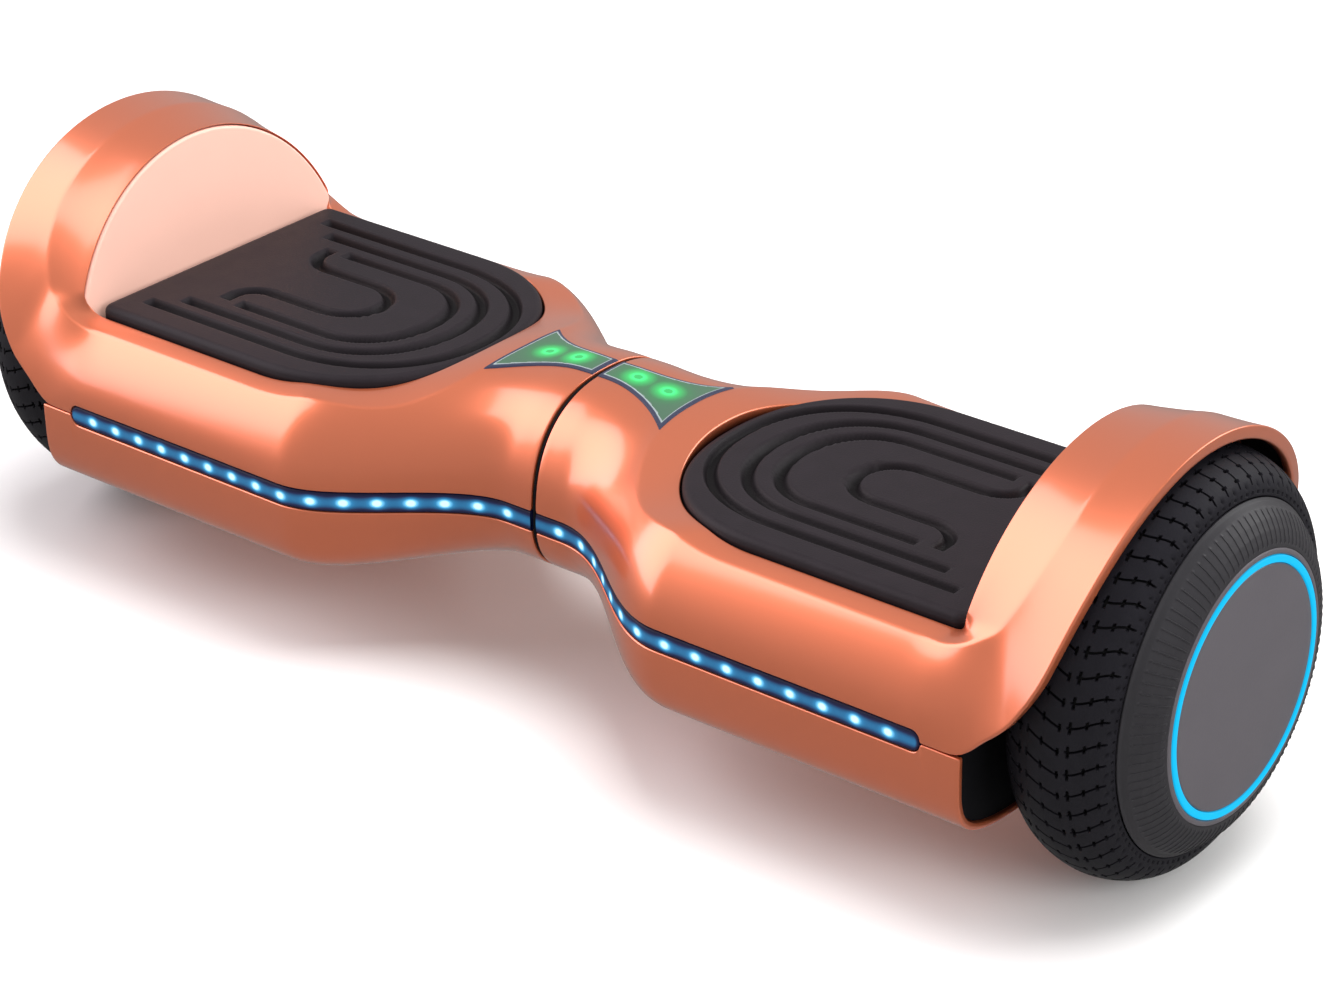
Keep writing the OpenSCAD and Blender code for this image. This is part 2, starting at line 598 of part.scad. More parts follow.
lamp_size = 5;
function lamp_x(i, n) = 6 + 209 * (i + 0.5) / n - 1.5 * sin(180 * i / n);
module led_board(side) {
  lamps = side < 0 ? 16 : 15;
  color([0.85, 0.9, 0.95]) on_side(side) {
    band([for (s = [5:10:215]) s], 3.4, 5, 6.2);
    for (i = [0:lamps - 1]) {
      x = lamp_x(i, lamps);
      slope = atan(half_w(x + 1) - half_w(x - 1)) / 2;
      translate([x, -(half_w(x) - 4.5), line_z]) rotate([0, 0, -slope])
        translate([-lamp_size / 2, -0.9, -lamp_size / 2]) cube([lamp_size, 1.8, lamp_size]);
    }
    block(8, 40, -7, 7, 106.4, 108);
    for (x = [12, 30]) {
      translate([x, 0, 108]) cylinder(r = 4, h = 2, $fn = 24);
    }
    post(24, 0, axis_z + housing_r, 106.4, 3);
  }
}
module led_board_left() { led_board(-1); }
module led_board_right() { led_board(1); }

lens_t = 0.9;
function lens_half_w(s) = lens_seam_y + (lens_tip_y - lens_seam_y) * pow(s / lens_tip_x, 2.6);
function lens_x(u, v) = seam_gap + u * (lens_tip_x - 0.6 + 1.6 * (1 - v * v) * -1 - seam_gap);
function lens_point(u, v, lift) = let(s = lens_x(u, v), y = v * lens_half_w(s)) [s, y, crown_z(s, y) + lift];
module indicator_lens(side) {
  rings = [for (i = [0:12]) concat([for (j = [-6:6]) lens_point(i / 12, j / 6, 0.12)],
    [for (j = [6:-1:-6]) lens_point(i / 12, j / 6, lens_t)])];
  color([0.2, 0.6, 0.3]) on_side(side) capped_mesh(rings);
}
module indicator_lens_left() { indicator_lens(-1); }
module indicator_lens_right() { indicator_lens(1); }

// Electrics: control board and heat sink on the left, battery on the right, a sensor board on each half
module main_board() {
  color([0.05, 0.3, 0.15]) on_side(-1) {
    block(88, 182, -42, 42, 68, 69.6);
    for (y = [-30, 0, 30]) {
      translate([104, y, 69.6]) cylinder(r = 6, h = 7, $fn = 32);
    }
    block(125, 150, -14, 14, 69.6, 73);
    for (p = [[92, -38], [92, 38], [178, -38], [178, 38]]) {
      post(p[0], p[1], 69.6, plate_z, 3);
    }
  }
}
module heat_sink() {
  color([0.7, 0.7, 0.72]) on_side(-1) {
    block(92, 178, -36, 36, 64, 68);
    for (y = [-35:7:35]) {
      block(92, 178, y - 1, y + 1, 52, 64);
    }
  }
}
module gyro_board(side) {
  color([0.1, 0.2, 0.5]) on_side(side) {
    block(116, 146, -22, 22, 90, 91.6);
    block(126, 134, -4, 4, 91.6, 93);
    block(120, 142, 12, 20, 91.6, 98);
    for (p = [[119, -19], [143, -19], [119, 19], [143, 19]]) {
      post(p[0], p[1], plate_z + plate_t, 90, 2.2);
    }
  }
}
module gyro_board_left() { gyro_board(-1); }
module gyro_board_right() { gyro_board(1); }

module battery_pack() {
  color([0.1, 0.25, 0.6]) {
    block(84, 182, -40, 40, 40, 74);
    block(182, 186, -12, 12, 52, 62);
  }
}
module battery_bracket() {
  color([0.5, 0.5, 0.52]) {
    for (x = [104, 150]) {
      block(x, x + 12, -43, 43, 74, 75.5);
      for (y = [-43, 41]) {
        block(x, x + 12, y, y + 2, 39, 75.5);
      }
      for (y = [-43, 41]) {
        block(x, x + 12, y, y + 2, 75.5, plate_z);
      }
    }
  }
}

// Rear controls on the left half: charge socket, and a push button on its switch
socket_x = 118;
button_x = 158;
control_z = 58;
control_face = 92.8;
socket_bore_r = 6;
socket_depth = 12;
module from_rear(x, y) {
  translate([x, y, control_z]) rotate([90, 0, 0]) children();
}
module charge_socket() {
  color([0.75, 0.75, 0.77]) on_side(-1) {
    difference() {
      from_rear(socket_x, control_face) cylinder(r = 9.3, h = 22, $fn = round_fn);
      from_rear(socket_x, control_face + 1) cylinder(r = socket_bore_r, h = socket_depth + 1, $fn = round_fn);
      from_rear(socket_x, control_face) cylinder(r = socket_bore_r - 1, h = socket_depth + 5, $fn = round_fn);
    }
    for (a = [90, 210, 330]) {
      from_rear(socket_x + 3 * cos(a), control_face - socket_depth - 1) translate([0, 3 * sin(a), 0])
        cylinder(r = 0.9, h = 5, $fn = 24);
    }
  }
}
module power_button() {
  color([0.12, 0.12, 0.13]) on_side(-1) {
    from_rear(button_x, control_face) cylinder(r = 7, h = 7, $fn = round_fn);
    from_rear(button_x, control_face - 7) cylinder(r = 2, h = 5, $fn = 32);
  }
}
module power_switch() {
  color([0.3, 0.3, 0.32]) on_side(-1) {
    difference() {
      from_rear(button_x, control_face) cylinder(r = 9.3, h = 10, $fn = round_fn);
      from_rear(button_x, control_face + 1) cylinder(r = 7.3, h = 10, $fn = round_fn);
      from_rear(button_x, control_face) cylinder(r = 2.4, h = 12, $fn = 32);
    }
    difference() {
      translate([button_x - 8, 72, control_z - 8]) cube([16, 10.8, 16]);
      from_rear(button_x, control_face - 8) cylinder(r = 2.4, h = 6, $fn = 32);
    }
  }
}

// Screws that hold the bottom covers to the chassis posts
screw_len = 16;
module cover_screws(side) {
  color([0.1, 0.1, 0.11]) on_side(side) for (p = screw_places) {
    z = belly_z(p[0], p[1]) + head_sink;
    difference() {
      union() {
        post(p[0], p[1], z - 1, z, 3.6);
        post(p[0], p[1], z, z + screw_len - head_sink, 1.95);
      }
      translate([p[0], p[1], z - 2]) cylinder(r = 1.6, h = 2.6, $fn = 6);
    }
  }
}
module cover_screws_left() { cover_screws(-1); }
module cover_screws_right() { cover_screws(1); }

top_cover_left();
top_cover_right();
bottom_cover_left();
bottom_cover_right();
fender_panel_left();
fender_panel_right();
fender_liner_left();
fender_liner_right();
footpad_left();
footpad_right();
footpad_tray_left();
footpad_tray_right();
chassis_left();
chassis_right();
neck_plate_left();
neck_plate_right();
pivot_tube();
pivot_bushes();
pivot_circlip();
wiring_harness();
axle_left();
axle_right();
axle_clamp_left();
axle_clamp_right();
motor_stator_left();
motor_stator_right();
magnet_ring_left();
magnet_ring_right();
wheel_rim_left();
wheel_rim_right();
motor_cover_left();
motor_cover_right();
wheel_bearings_left();
wheel_bearings_right();
tyre_left();
tyre_right();
hub_cone_left();
hub_cone_right();
hub_disc_left();
hub_disc_right();
ring_light_left();
ring_light_right();
led_strip_left();
led_strip_right();
led_board_left();
led_board_right();
indicator_lens_left();
indicator_lens_right();
main_board();
heat_sink();
gyro_board_left();
gyro_board_right();
battery_pack();
battery_bracket();
charge_socket();
power_button();
power_switch();
cover_screws_left();
cover_screws_right();
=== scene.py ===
# Looks of the two-wheeled self balancing board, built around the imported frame.
import json
import math

import bpy
import numpy as np
from mathutils import Matrix, Vector

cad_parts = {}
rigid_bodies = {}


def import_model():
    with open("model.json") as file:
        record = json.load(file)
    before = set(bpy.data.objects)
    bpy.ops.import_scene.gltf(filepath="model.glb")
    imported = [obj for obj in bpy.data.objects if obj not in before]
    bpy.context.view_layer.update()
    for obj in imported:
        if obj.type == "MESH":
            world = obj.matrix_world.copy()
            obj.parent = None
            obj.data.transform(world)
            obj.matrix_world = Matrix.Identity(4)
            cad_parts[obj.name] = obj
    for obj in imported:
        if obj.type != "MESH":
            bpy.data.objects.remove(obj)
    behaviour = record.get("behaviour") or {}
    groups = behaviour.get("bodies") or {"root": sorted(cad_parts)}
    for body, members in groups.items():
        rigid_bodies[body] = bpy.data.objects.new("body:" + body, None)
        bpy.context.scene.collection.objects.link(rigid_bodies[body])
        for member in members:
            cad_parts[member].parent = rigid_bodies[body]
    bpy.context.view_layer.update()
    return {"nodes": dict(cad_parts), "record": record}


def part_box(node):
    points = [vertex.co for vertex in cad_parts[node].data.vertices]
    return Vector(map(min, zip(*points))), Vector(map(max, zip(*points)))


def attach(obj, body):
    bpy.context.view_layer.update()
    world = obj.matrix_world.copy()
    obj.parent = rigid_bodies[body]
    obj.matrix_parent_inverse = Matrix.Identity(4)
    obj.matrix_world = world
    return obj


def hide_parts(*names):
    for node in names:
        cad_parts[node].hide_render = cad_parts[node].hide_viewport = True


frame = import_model()
MM = 0.001


def mm_box(node):
    """Corners of the box round a node, in mm."""
    lo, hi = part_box(node)
    return np.array(lo) / MM, np.array(hi) / MM


# Main sizes in millimetres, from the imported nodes
TYRE_LO, TYRE_HI = mm_box("tyre_right")
AXIS_Z = (TYRE_LO[2] + TYRE_HI[2]) / 2
TYRE_R = (TYRE_HI[2] - TYRE_LO[2]) / 2
TYRE_X = (TYRE_LO[0] + TYRE_HI[0]) / 2
BODY_W = mm_box("bottom_cover_right")[1][1]
COVER_END = mm_box("bottom_cover_right")[1][0]
PAD_LO, PAD_HI = mm_box("footpad_right")
PAD_TOP, PAD_END, PAD_W = PAD_HI[2], PAD_HI[0], PAD_HI[1]
STRIP_LO, STRIP_HI = mm_box("led_strip_right")
LINE_Z = (STRIP_LO[2] + STRIP_HI[2]) / 2
STRIP_H = (STRIP_HI[2] - STRIP_LO[2]) / 2
STRIP_END = STRIP_HI[0]
FENDER_R = mm_box("top_cover_right")[1][2] - AXIS_Z
FENDER_EDGE = mm_box("top_cover_right")[1][0]
SEAM = mm_box("top_cover_right")[0][0]
CONE_LO, CONE_HI = mm_box("hub_cone_right")
CONE_R = CONE_HI[2] - AXIS_Z
DISC_R = mm_box("hub_disc_right")[1][2] - AXIS_Z
DISC_X = mm_box("hub_disc_right")[1][0]
RING_OUT = mm_box("ring_light_right")[1][2] - AXIS_Z
BELLY_Z = mm_box("bottom_cover_right")[0][2]

# Half width of the neck, wall of the shells, crease beside the deck and height of the opening's edge
NECK_W, WALL, CREASE_Y, CREASE_Z, RING_Z = 48.3, 2.5, 80.0, 110.5, 113.0
# Inner ends of the pad and the crease: where they turn in, how far they reach and how square they are
ARC_X, PAD_DEPTH, PAD_POWER, CREASE_DEPTH, CREASE_POWER = 128, 67.0, 2.2, 83, 2.5
# Gaps round the pad, under the top cover and round the light strip, and how square the strip's ends are
PAD_GAP, EDGE_GAP, STRIP_GAP, STRIP_POWER = 0.8, 0.25, 0.35, 2.4
SIDES = {"left": -1, "right": 1}
LAMPS = {"left": 16, "right": 15}


# ---------- curves of the body, the same as in the frame ----------
def blend(a, b, x):
    """Smooth step from 0 at a to 1 at b."""
    t = np.clip((x - a) / (b - a), 0, 1)
    return t * t * (3 - 2 * t)


def mix(a, b, t):
    return a + (b - a) * t


def sind(a):
    return np.sin(np.radians(a))


def cosd(a):
    return np.cos(np.radians(a))


def pts(x, y, z):
    """Points from their three coordinates, which may be numbers or arrays."""
    return np.stack(np.broadcast_arrays(x, y, z), -1).astype(float)


# Half width of the body at station s, its height above and below the strip line, and how square it is
def half_w(s):
    return mix(NECK_W, BODY_W, blend(14, 98.7, s))


def crown_h(s):
    return 50.6 - 3 * blend(8, 42, s) + 14 * blend(42, 100, s)


def crown_n(s):
    return mix(2.45, 2.2, blend(30, 100, s))


def belly_h(s):
    return mix(32.5, LINE_Z - BELLY_Z, blend(14, 98.7, s))


def belly_n(s):
    return mix(2.4, 5.0, blend(20, 105, s))


def power(v, n):
    return np.maximum(v, 0) ** (2 / n)


def upper(s, a, inset):
    """Point of the upper half of the section at station s, a degrees up from the strip line."""
    n = crown_n(s)
    return pts(s, (half_w(s) - inset) * power(cosd(a), n), LINE_Z + (crown_h(s) - inset) * power(sind(a), n))


def lower(s, a, inset):
    """Point of the lower half of the section at station s, a degrees down from the strip line."""
    n = belly_n(s)
    return pts(s, (half_w(s) - inset) * power(cosd(a), n), LINE_Z - (belly_h(s) - inset) * power(sind(a), n))


def crown_z(s, y):
    """Height of the upper half of the section at y from its middle."""
    n = crown_n(s)
    return LINE_Z + crown_h(s) * (1 - (np.abs(y) / half_w(s)) ** n) ** (1 / n)


def angle_at(s, y):
    """Angle at which the upper half of the section passes y."""
    return np.degrees(np.arccos(np.minimum(1, y / half_w(s)) ** (crown_n(s) / 2)))


def angle_up(s, h):
    """Angle at which the upper half of the section is h above the strip line."""
    return np.degrees(np.arcsin((h / crown_h(s)) ** (crown_n(s) / 2)))


def angle_down(s, h):
    """Angle at which the lower half of the section is h below the strip line."""
    return np.degrees(np.arcsin((h / belly_h(s)) ** (belly_n(s) / 2)))


def on_wheel(x, r, q):
    """Point at radius r about the axle, q degrees from the top."""
    return pts(x, r * sind(q), AXIS_Z + r * cosd(q))


def wheel_polar(p):
    """Radius and angle of points about the axle."""
    return np.hypot(p[:, 1], p[:, 2] - AXIS_Z), np.degrees(np.arctan2(p[:, 1], p[:, 2] - AXIS_Z))


def superarc(a, n, x0, depth, width):
    """The rounded inner end of the pad, the crease or a groove."""
    return x0 - depth * power(cosd(a), n), width * power(sind(a), n)


# ---------- fender ----------
# Half width, height and centre of the D shaped opening, and how far it leans outward per mm of height
D_W, D_H, D_Z, D_LEAN = 81.5, 82.7, 89.9, 6.3 / 58
# Angles at which the edge of the opening, the crease and the rim start, in degrees from the top
FENDER_A, CREASE_Q, RIM_Q = 65.7, 63.8, 83.5
# Last stations at which the crease and the outer edge follow the section of the body
CREASE_END, EDGE_END = 240, 262
# Points of the edge of the opening, the crease and the outer edge through the corner below the fender
CORNER_KEYS = np.array([
    [[195, 70.8, 113], [195, 80, 110.5], [192, 93.3, 75.7]],
    [[208, 70.8, 113], [205, 80, 110.5], [204, 93.3, 75.7]],
    [[215, 70.8, 113], [213, 80.2, 110.6], [215, 93.3, 75.7]],
    [[221, 70.8, 113.1], [221, 81.3, 111.6], [227, 93.3, 75.7]],
    [[224.2, 72.4, 115.5], [229, 82.4, 114.1], [238, 93.2, 77]],
    [[225.8, 74.2, 119.6], [236, 81.6, 118], [247.5, 93, 85.4]],
])


def d_x(z):
    return 225.8 + D_LEAN * (z - 116)


def arch_key(e):
    """Edge of the opening, crease and rim of the arch, from its foot (1) to its top (0)."""
    a, qc, qo = FENDER_A * e, CREASE_Q * e, RIM_Q * e
    z = D_Z + D_H * cosd(a)
    crease_x = 257 - 2 * (qc / 40) ** 2 - 9 * (np.maximum(0, qc - 35) / 29) ** 2
    crease_r = 92.2 - 4.4 * (np.maximum(0, qc - 25) / 39) ** 2
    rim_x = FENDER_EDGE - 10 * (qo / 70) ** 3 - 0.018 * np.maximum(0, qo - 68) ** 2
    opening = pts(d_x(z), D_W * sind(a), z)
    return np.stack([opening, on_wheel(crease_x, crease_r, qc), on_wheel(rim_x, FENDER_R, qo)], -2)


def corner_at(p):
    """Smooth curve through the corner keys and the first keys of the arch."""
    keys = np.concatenate([CORNER_KEYS, [arch_key(1 - k * 0.09) for k in range(4)]])
    i = np.floor(p).astype(int)
    t = (p - i)[:, None, None]
    a, b, c, d = (keys[i + k] for k in range(4))
    square, cube = 2 * a - 5 * b + 4 * c - d, 3 * b - a - 3 * c + d
    return 0.5 * (2 * b + (c - a) * t + square * t ** 2 + cube * t ** 3)


def edge_lift(s, front):
    """Height of the top cover's lower edge above the strip line: it goes round the strip at the front."""
    if not front:
        return np.full_like(s, EDGE_GAP)
    r = STRIP_H + STRIP_GAP
    past = np.clip((s - (STRIP_END + STRIP_GAP - r)) / r, 0, 1)
    return np.maximum(EDGE_GAP, r * np.sqrt(1 - past ** STRIP_POWER))


# Share of the inner end's columns whose outer edge lies on the seam
SEAM_SHARE = 0.52


def inner_end(front):
    """Columns round the inner end of the pad. Their outer edge goes down the seam and out along the strip."""
    w = np.linspace(0, 1, 110)
    px, py = superarc(90 * w, PAD_POWER, ARC_X, PAD_DEPTH + PAD_GAP, PAD_W + PAD_GAP)
    cx, cy = superarc(90 * w, CREASE_POWER, ARC_X, CREASE_DEPTH, CREASE_Y)
    crease_a = angle_at(cx, cy)
    crease = upper(cx, crease_a, 0)
    opening = pts(px, py, RING_Z + 0.55 * (crease[:, 2] - CREASE_Z))
    at_seam = w < SEAM_SHARE
    out = np.maximum(w - SEAM_SHARE, 0) / (1 - SEAM_SHARE)
    edge_s = np.where(at_seam, SEAM, mix(SEAM, ARC_X, out ** 1.15))
    up = angle_up(edge_s, edge_lift(edge_s, front))
    edge_a = np.where(at_seam, mix(90, up, (np.minimum(w, SEAM_SHARE) / SEAM_SHARE) ** 0.9), up)
    return opening, crease, upper(edge_s, edge_a, 0), cx, crease_a, edge_s, edge_a, w * 0


def straight_side(front):
    """Columns along the straight side of the pad."""
    s = np.linspace(ARC_X + 2, CORNER_KEYS[0, 0, 0] - 2, 34)
    crease_a, edge_a = angle_at(s, CREASE_Y), angle_up(s, edge_lift(s, front))
    opening = pts(s, PAD_W + PAD_GAP, RING_Z)
    return opening, upper(s, crease_a, 0), upper(s, edge_a, 0), s, crease_a, s, edge_a, s * 0


def fender_corner(front):
    """Columns of the corner, where the deck and the side of the body turn up into the fender."""
    p = np.concatenate([np.linspace(0.12, 1.4, 18), np.linspace(1.42, 2.0, 30), np.linspace(2.06, 5, 56)])
    keys = corner_at(p)
    opening, crease, edge = keys[:, 0], keys[:, 1], keys[:, 2].copy()
    crease_s, edge_s = np.minimum(crease[:, 0], CREASE_END), np.minimum(edge[:, 0], EDGE_END)
    crease_a = angle_at(crease_s, np.minimum(crease[:, 1], CREASE_Y))
    lift = edge_lift(edge[:, 0], front)
    edge_a = angle_up(edge_s, np.maximum(lift, np.minimum(edge[:, 2] - LINE_Z, 34)))
    edge[:, 2] = np.maximum(edge[:, 2], LINE_Z + lift)
    return opening, crease, edge, crease_s, crease_a, edge_s, edge_a, blend(1.2, 4.4, p)


def fender_arch():
    """Columns of the arch, from its foot to its top."""
    e = np.linspace(0.985, 0, 74)
    keys = arch_key(e)
    one = np.ones_like(e)
    return keys[:, 0], keys[:, 1], keys[:, 2], CREASE_END * one, 45 * one, EDGE_END * one, 30 * one, one


def columns(front):
    """Columns of the top cover, from the middle of its inner end to the top of the fender: points of the edge
    of the opening, the crease and the outer edge, station and angle of the last two, the fender's share."""
    runs = inner_end(front), straight_side(front), fender_corner(front), fender_arch()
    return [np.concatenate(part) for part in zip(*runs)]


def skin(col, t, inset):
    """Points of the side skin at t from the crease (0) to the outer edge (1), for every column."""
    _, crease, edge, crease_s, crease_a, edge_s, edge_a, share = col
    body = upper(mix(crease_s, edge_s, t), mix(crease_a, edge_a, t), inset)
    body = body + (1 - t) ** 2 * (crease - upper(crease_s, crease_a, 0))
    body = body + t ** 2 * (edge - upper(edge_s, edge_a, 0))
    crease_r, crease_q = wheel_polar(crease)
    edge_r, edge_q = wheel_polar(edge)
    r = mix(crease_r, edge_r, t * t) - inset
    arch = on_wheel(mix(crease[:, 0], edge[:, 0], t), r, mix(crease_q, edge_q, t))
    return mix(body, arch, share[:, None])


def unit(v):
    return v / np.maximum(np.linalg.norm(v, axis=-1, keepdims=True), 1e-9)


def rounded(a, b, c, r, n=6):
    """Rows that turn the corner b, between a and c, on a soft arc from r before it to r after it."""
    p0, p2 = b + unit(a - b) * r, b + unit(c - b) * r
    t = np.linspace(0, 1, n)[:, None, None]
    return (1 - t) ** 2 * p0 + 2 * t * (1 - t) * b + t ** 2 * p2


def reach(a, b, r):
    """Radius r, or less where the rows a and b are too close for it."""
    return np.minimum(r, 0.8 * np.linalg.norm(a - b, axis=-1, keepdims=True))


# ---------- mesh helpers ----------
def quads(n, m, wrap_n=False, wrap_m=False):
    """Faces of a grid of n by m points, closed on itself where wrap says so."""
    i = np.arange(n if wrap_n else n - 1)[:, None]
    j = np.arange(m if wrap_m else m - 1)[None, :]
    k, l = (i + 1) % n, (j + 1) % m
    return np.stack(np.broadcast_arrays(i * m + j, i * m + l, k * m + l, k * m + j), -1).reshape(-1, 4)


def outward(points, faces):
    """True if the faces of the closed mesh point outward."""
    volume = 0
    for corners in ([0, 1, 2], [0, 2, 3]):
        a, b, c = (points[faces[:, k]] for k in corners)
        volume += np.einsum("ij,ij->i", a, np.cross(b, c)).sum()
    return volume > 0


def make_mesh(name, points, faces, caps=(), attributes=None, sharp=None):
    """Smooth shaded object of points in mm. Edges steeper than sharp degrees stay crisp."""
    points = np.asarray(points, float).reshape(-1, 3)
    if not outward(points, faces):
        faces = faces[:, ::-1]
        caps = [c[::-1] for c in caps]
    mesh = bpy.data.meshes.new(name)
    mesh.from_pydata((points * MM).tolist(), [], faces.tolist() + [list(c) for c in caps])
    mesh.validate(clean_customdata=False)
    mesh.shade_smooth()
    if sharp:
        mesh.set_sharp_from_angle(angle=math.radians(sharp))
    for key, value in (attributes or {}).items():
        layer = mesh.attributes.new(key, "FLOAT", "POINT")
        layer.data.foreach_set("value", np.asarray(value, np.float32).ravel())
    obj = bpy.data.objects.new(name, mesh)
    bpy.context.scene.collection.objects.link(obj)
    return obj


def place(obj, body, slot, material, *nodes):
    """Gives a piece its material and body, and hides the CAD nodes that it stands for. The slot is not used.
    """
    obj.data.materials.append(material)
    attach(obj, body)
    if nodes:
        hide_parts(*nodes)
    return obj


def flip(points, side):
    """Mirrors points of the right half for the left one."""
    return points * np.array([side, 1, 1])


def revolve(section, n, side):
    """Points of (distance, radius) turned about the axle, n steps round."""
    q = np.arange(n)[:, None] * 2 * np.pi / n
    x, r = np.asarray(section, float).T
    return flip(pts(x[None, :], r[None, :] * np.sin(q), AXIS_Z + r[None, :] * np.cos(q)), side)


def outline_of(stations, widths):
    """Closed outline of a flat shape that is as wide both ways at each station."""
    return np.concatenate([np.stack([stations, -widths], -1), np.stack([stations, widths], -1)[::-1]])


def resample(line, n):
    """n points evenly along a polyline."""
    line = np.asarray(line, float)
    run = np.concatenate([[0], np.cumsum(np.linalg.norm(np.diff(line, axis=0), axis=1))])
    at = np.linspace(0, run[-1], n)
    return np.stack([np.interp(at, run, line[:, k]) for k in range(line.shape[1])], -1)


def distance_to(line, x, y):
    """Distance of every point (x, y) from a polyline."""
    best = np.full(x.shape, 1e9)
    for a, b in zip(line[:-1], line[1:]):
        d = b - a
        t = np.clip(((x - a[0]) * d[0] + (y - a[1]) * d[1]) / max(d @ d, 1e-12), 0, 1)
        best = np.minimum(best, np.hypot(x - a[0] - t * d[0], y - a[1] - t * d[1]))
    return best


# ---------- materials ----------
def material(name):
    mat = bpy.data.materials.new(name)
    mat.use_nodes = True
    nodes = mat.node_tree.nodes
    return mat, nodes, mat.node_tree.links, nodes["Principled BSDF"]


def textured(name, color, rough, metal=0.0, grain=400.0, bump=0.1, depth=0.0002, vary=0.15, rough_vary=0.08,
             coat=0.0, stretch=(1, 1, 1), specular=0.5, groove_shade=None):
    """Principled material with a noise that varies colour and roughness, and a fine grain bump. Given the
    name of a groove attribute of the mesh, it darkens the colour to about a fifth in the grooves, as painted
    shade."""
    mat, nodes, links, bsdf = material(name)
    bsdf.inputs["Metallic"].default_value = metal
    bsdf.inputs["Coat Weight"].default_value = coat
    bsdf.inputs["Coat Roughness"].default_value = 0.05
    bsdf.inputs["Specular IOR Level"].default_value = specular
    coord = nodes.new("ShaderNodeTexCoord")
    place_map = nodes.new("ShaderNodeMapping")
    place_map.inputs["Scale"].default_value = stretch
    links.new(coord.outputs["Object"], place_map.inputs["Vector"])
    wide = nodes.new("ShaderNodeTexNoise")
    wide.inputs["Scale"].default_value = grain / 12
    wide.inputs["Detail"].default_value = 4
    fine = nodes.new("ShaderNodeTexNoise")
    fine.inputs["Scale"].default_value = grain
    fine.inputs["Detail"].default_value = 3
    for n in (wide, fine):
        links.new(place_map.outputs["Vector"], n.inputs["Vector"])
    ramp = nodes.new("ShaderNodeMapRange")
    ramp.inputs["To Min"].default_value = 1 - vary
    ramp.inputs["To Max"].default_value = 1 + vary
    links.new(wide.outputs["Fac"], ramp.inputs["Value"])
    tint = nodes.new("ShaderNodeVectorMath")
    tint.operation = "SCALE"
    tint.inputs[0].default_value = color
    if groove_shade:
        # Painted shade: the colour falls towards 0.22 where the attribute marks a groove.
        level = nodes.new("ShaderNodeAttribute")
        level.attribute_name = groove_shade
        shade = nodes.new("ShaderNodeMapRange")
        shade.inputs["To Min"].default_value = 1
        shade.inputs["To Max"].default_value = 0.22
        links.new(level.outputs["Fac"], shade.inputs["Value"])
        both = nodes.new("ShaderNodeMath")
        both.operation = "MULTIPLY"
        links.new(shade.outputs["Result"], both.inputs[0])
        links.new(ramp.outputs["Result"], both.inputs[1])
        links.new(both.outputs["Value"], tint.inputs["Scale"])
    else:
        links.new(ramp.outputs["Result"], tint.inputs["Scale"])
    links.new(tint.outputs["Vector"], bsdf.inputs["Base Color"])
    gloss = nodes.new("ShaderNodeMapRange")
    gloss.inputs["To Min"].default_value = max(0.02, rough - rough_vary)
    gloss.inputs["To Max"].default_value = rough + rough_vary
    links.new(wide.outputs["Fac"], gloss.inputs["Value"])
    links.new(gloss.outputs["Result"], bsdf.inputs["Roughness"])
    if bump:
        b = nodes.new("ShaderNodeBump")
        b.inputs["Strength"].default_value = bump
        b.inputs["Distance"].default_value = depth
        links.new(fine.outputs["Fac"], b.inputs["Height"])
        links.new(b.outputs["Normal"], bsdf.inputs["Normal"])
    return mat


def lit_material(name, stops, attribute, strength, rough=0.5):
    """A lens whose colour and light follow an attribute of the mesh.
    Stops are (value, base colour, light colour)."""
    mat, nodes, links, bsdf = material(name)
    bsdf.inputs["Roughness"].default_value = rough
    bsdf.inputs["Specular IOR Level"].default_value = 0.2
    level = nodes.new("ShaderNodeAttribute")
    level.attribute_name = attribute
    noise = nodes.new("ShaderNodeTexNoise")
    noise.inputs["Scale"].default_value = 900
    coord = nodes.new("ShaderNodeTexCoord")
    links.new(coord.outputs["Object"], noise.inputs["Vector"])
    jitter = nodes.new("ShaderNodeMath")
    jitter.operation = "MULTIPLY_ADD"
    jitter.inputs[1].default_value = 0.03
    links.new(noise.outputs["Fac"], jitter.inputs[0])
    links.new(level.outputs["Fac"], jitter.inputs[2])
    for socket, which in (("Base Color", 1), ("Emission Color", 2)):
        ramp = nodes.new("ShaderNodeValToRGB")
        elements = ramp.color_ramp.elements
        while len(elements) < len(stops):
            elements.new(0.5)
        for element, stop in zip(elements, stops):
            element.position = stop[0]
            element.color = (*stop[which], 1)
        links.new(jitter.outputs["Value"], ramp.inputs["Fac"])
        links.new(ramp.outputs["Color"], bsdf.inputs[socket])
    bsdf.inputs["Emission Strength"].default_value = strength
    return mat


def rose_gold():
    """Metallic orange paint under a thick clear coat that mirrors the soft lights."""
    mat = textured("rose_gold", (0.87, 0.212, 0.086), 0.36, metal=0.8, grain=60, bump=0.02, vary=0.02,
                   rough_vary=0.03, coat=1.0)
    bsdf = mat.node_tree.nodes["Principled BSDF"]
    bsdf.inputs["Coat IOR"].default_value = 1.8
    bsdf.inputs["Coat Roughness"].default_value = 0.15
    return mat


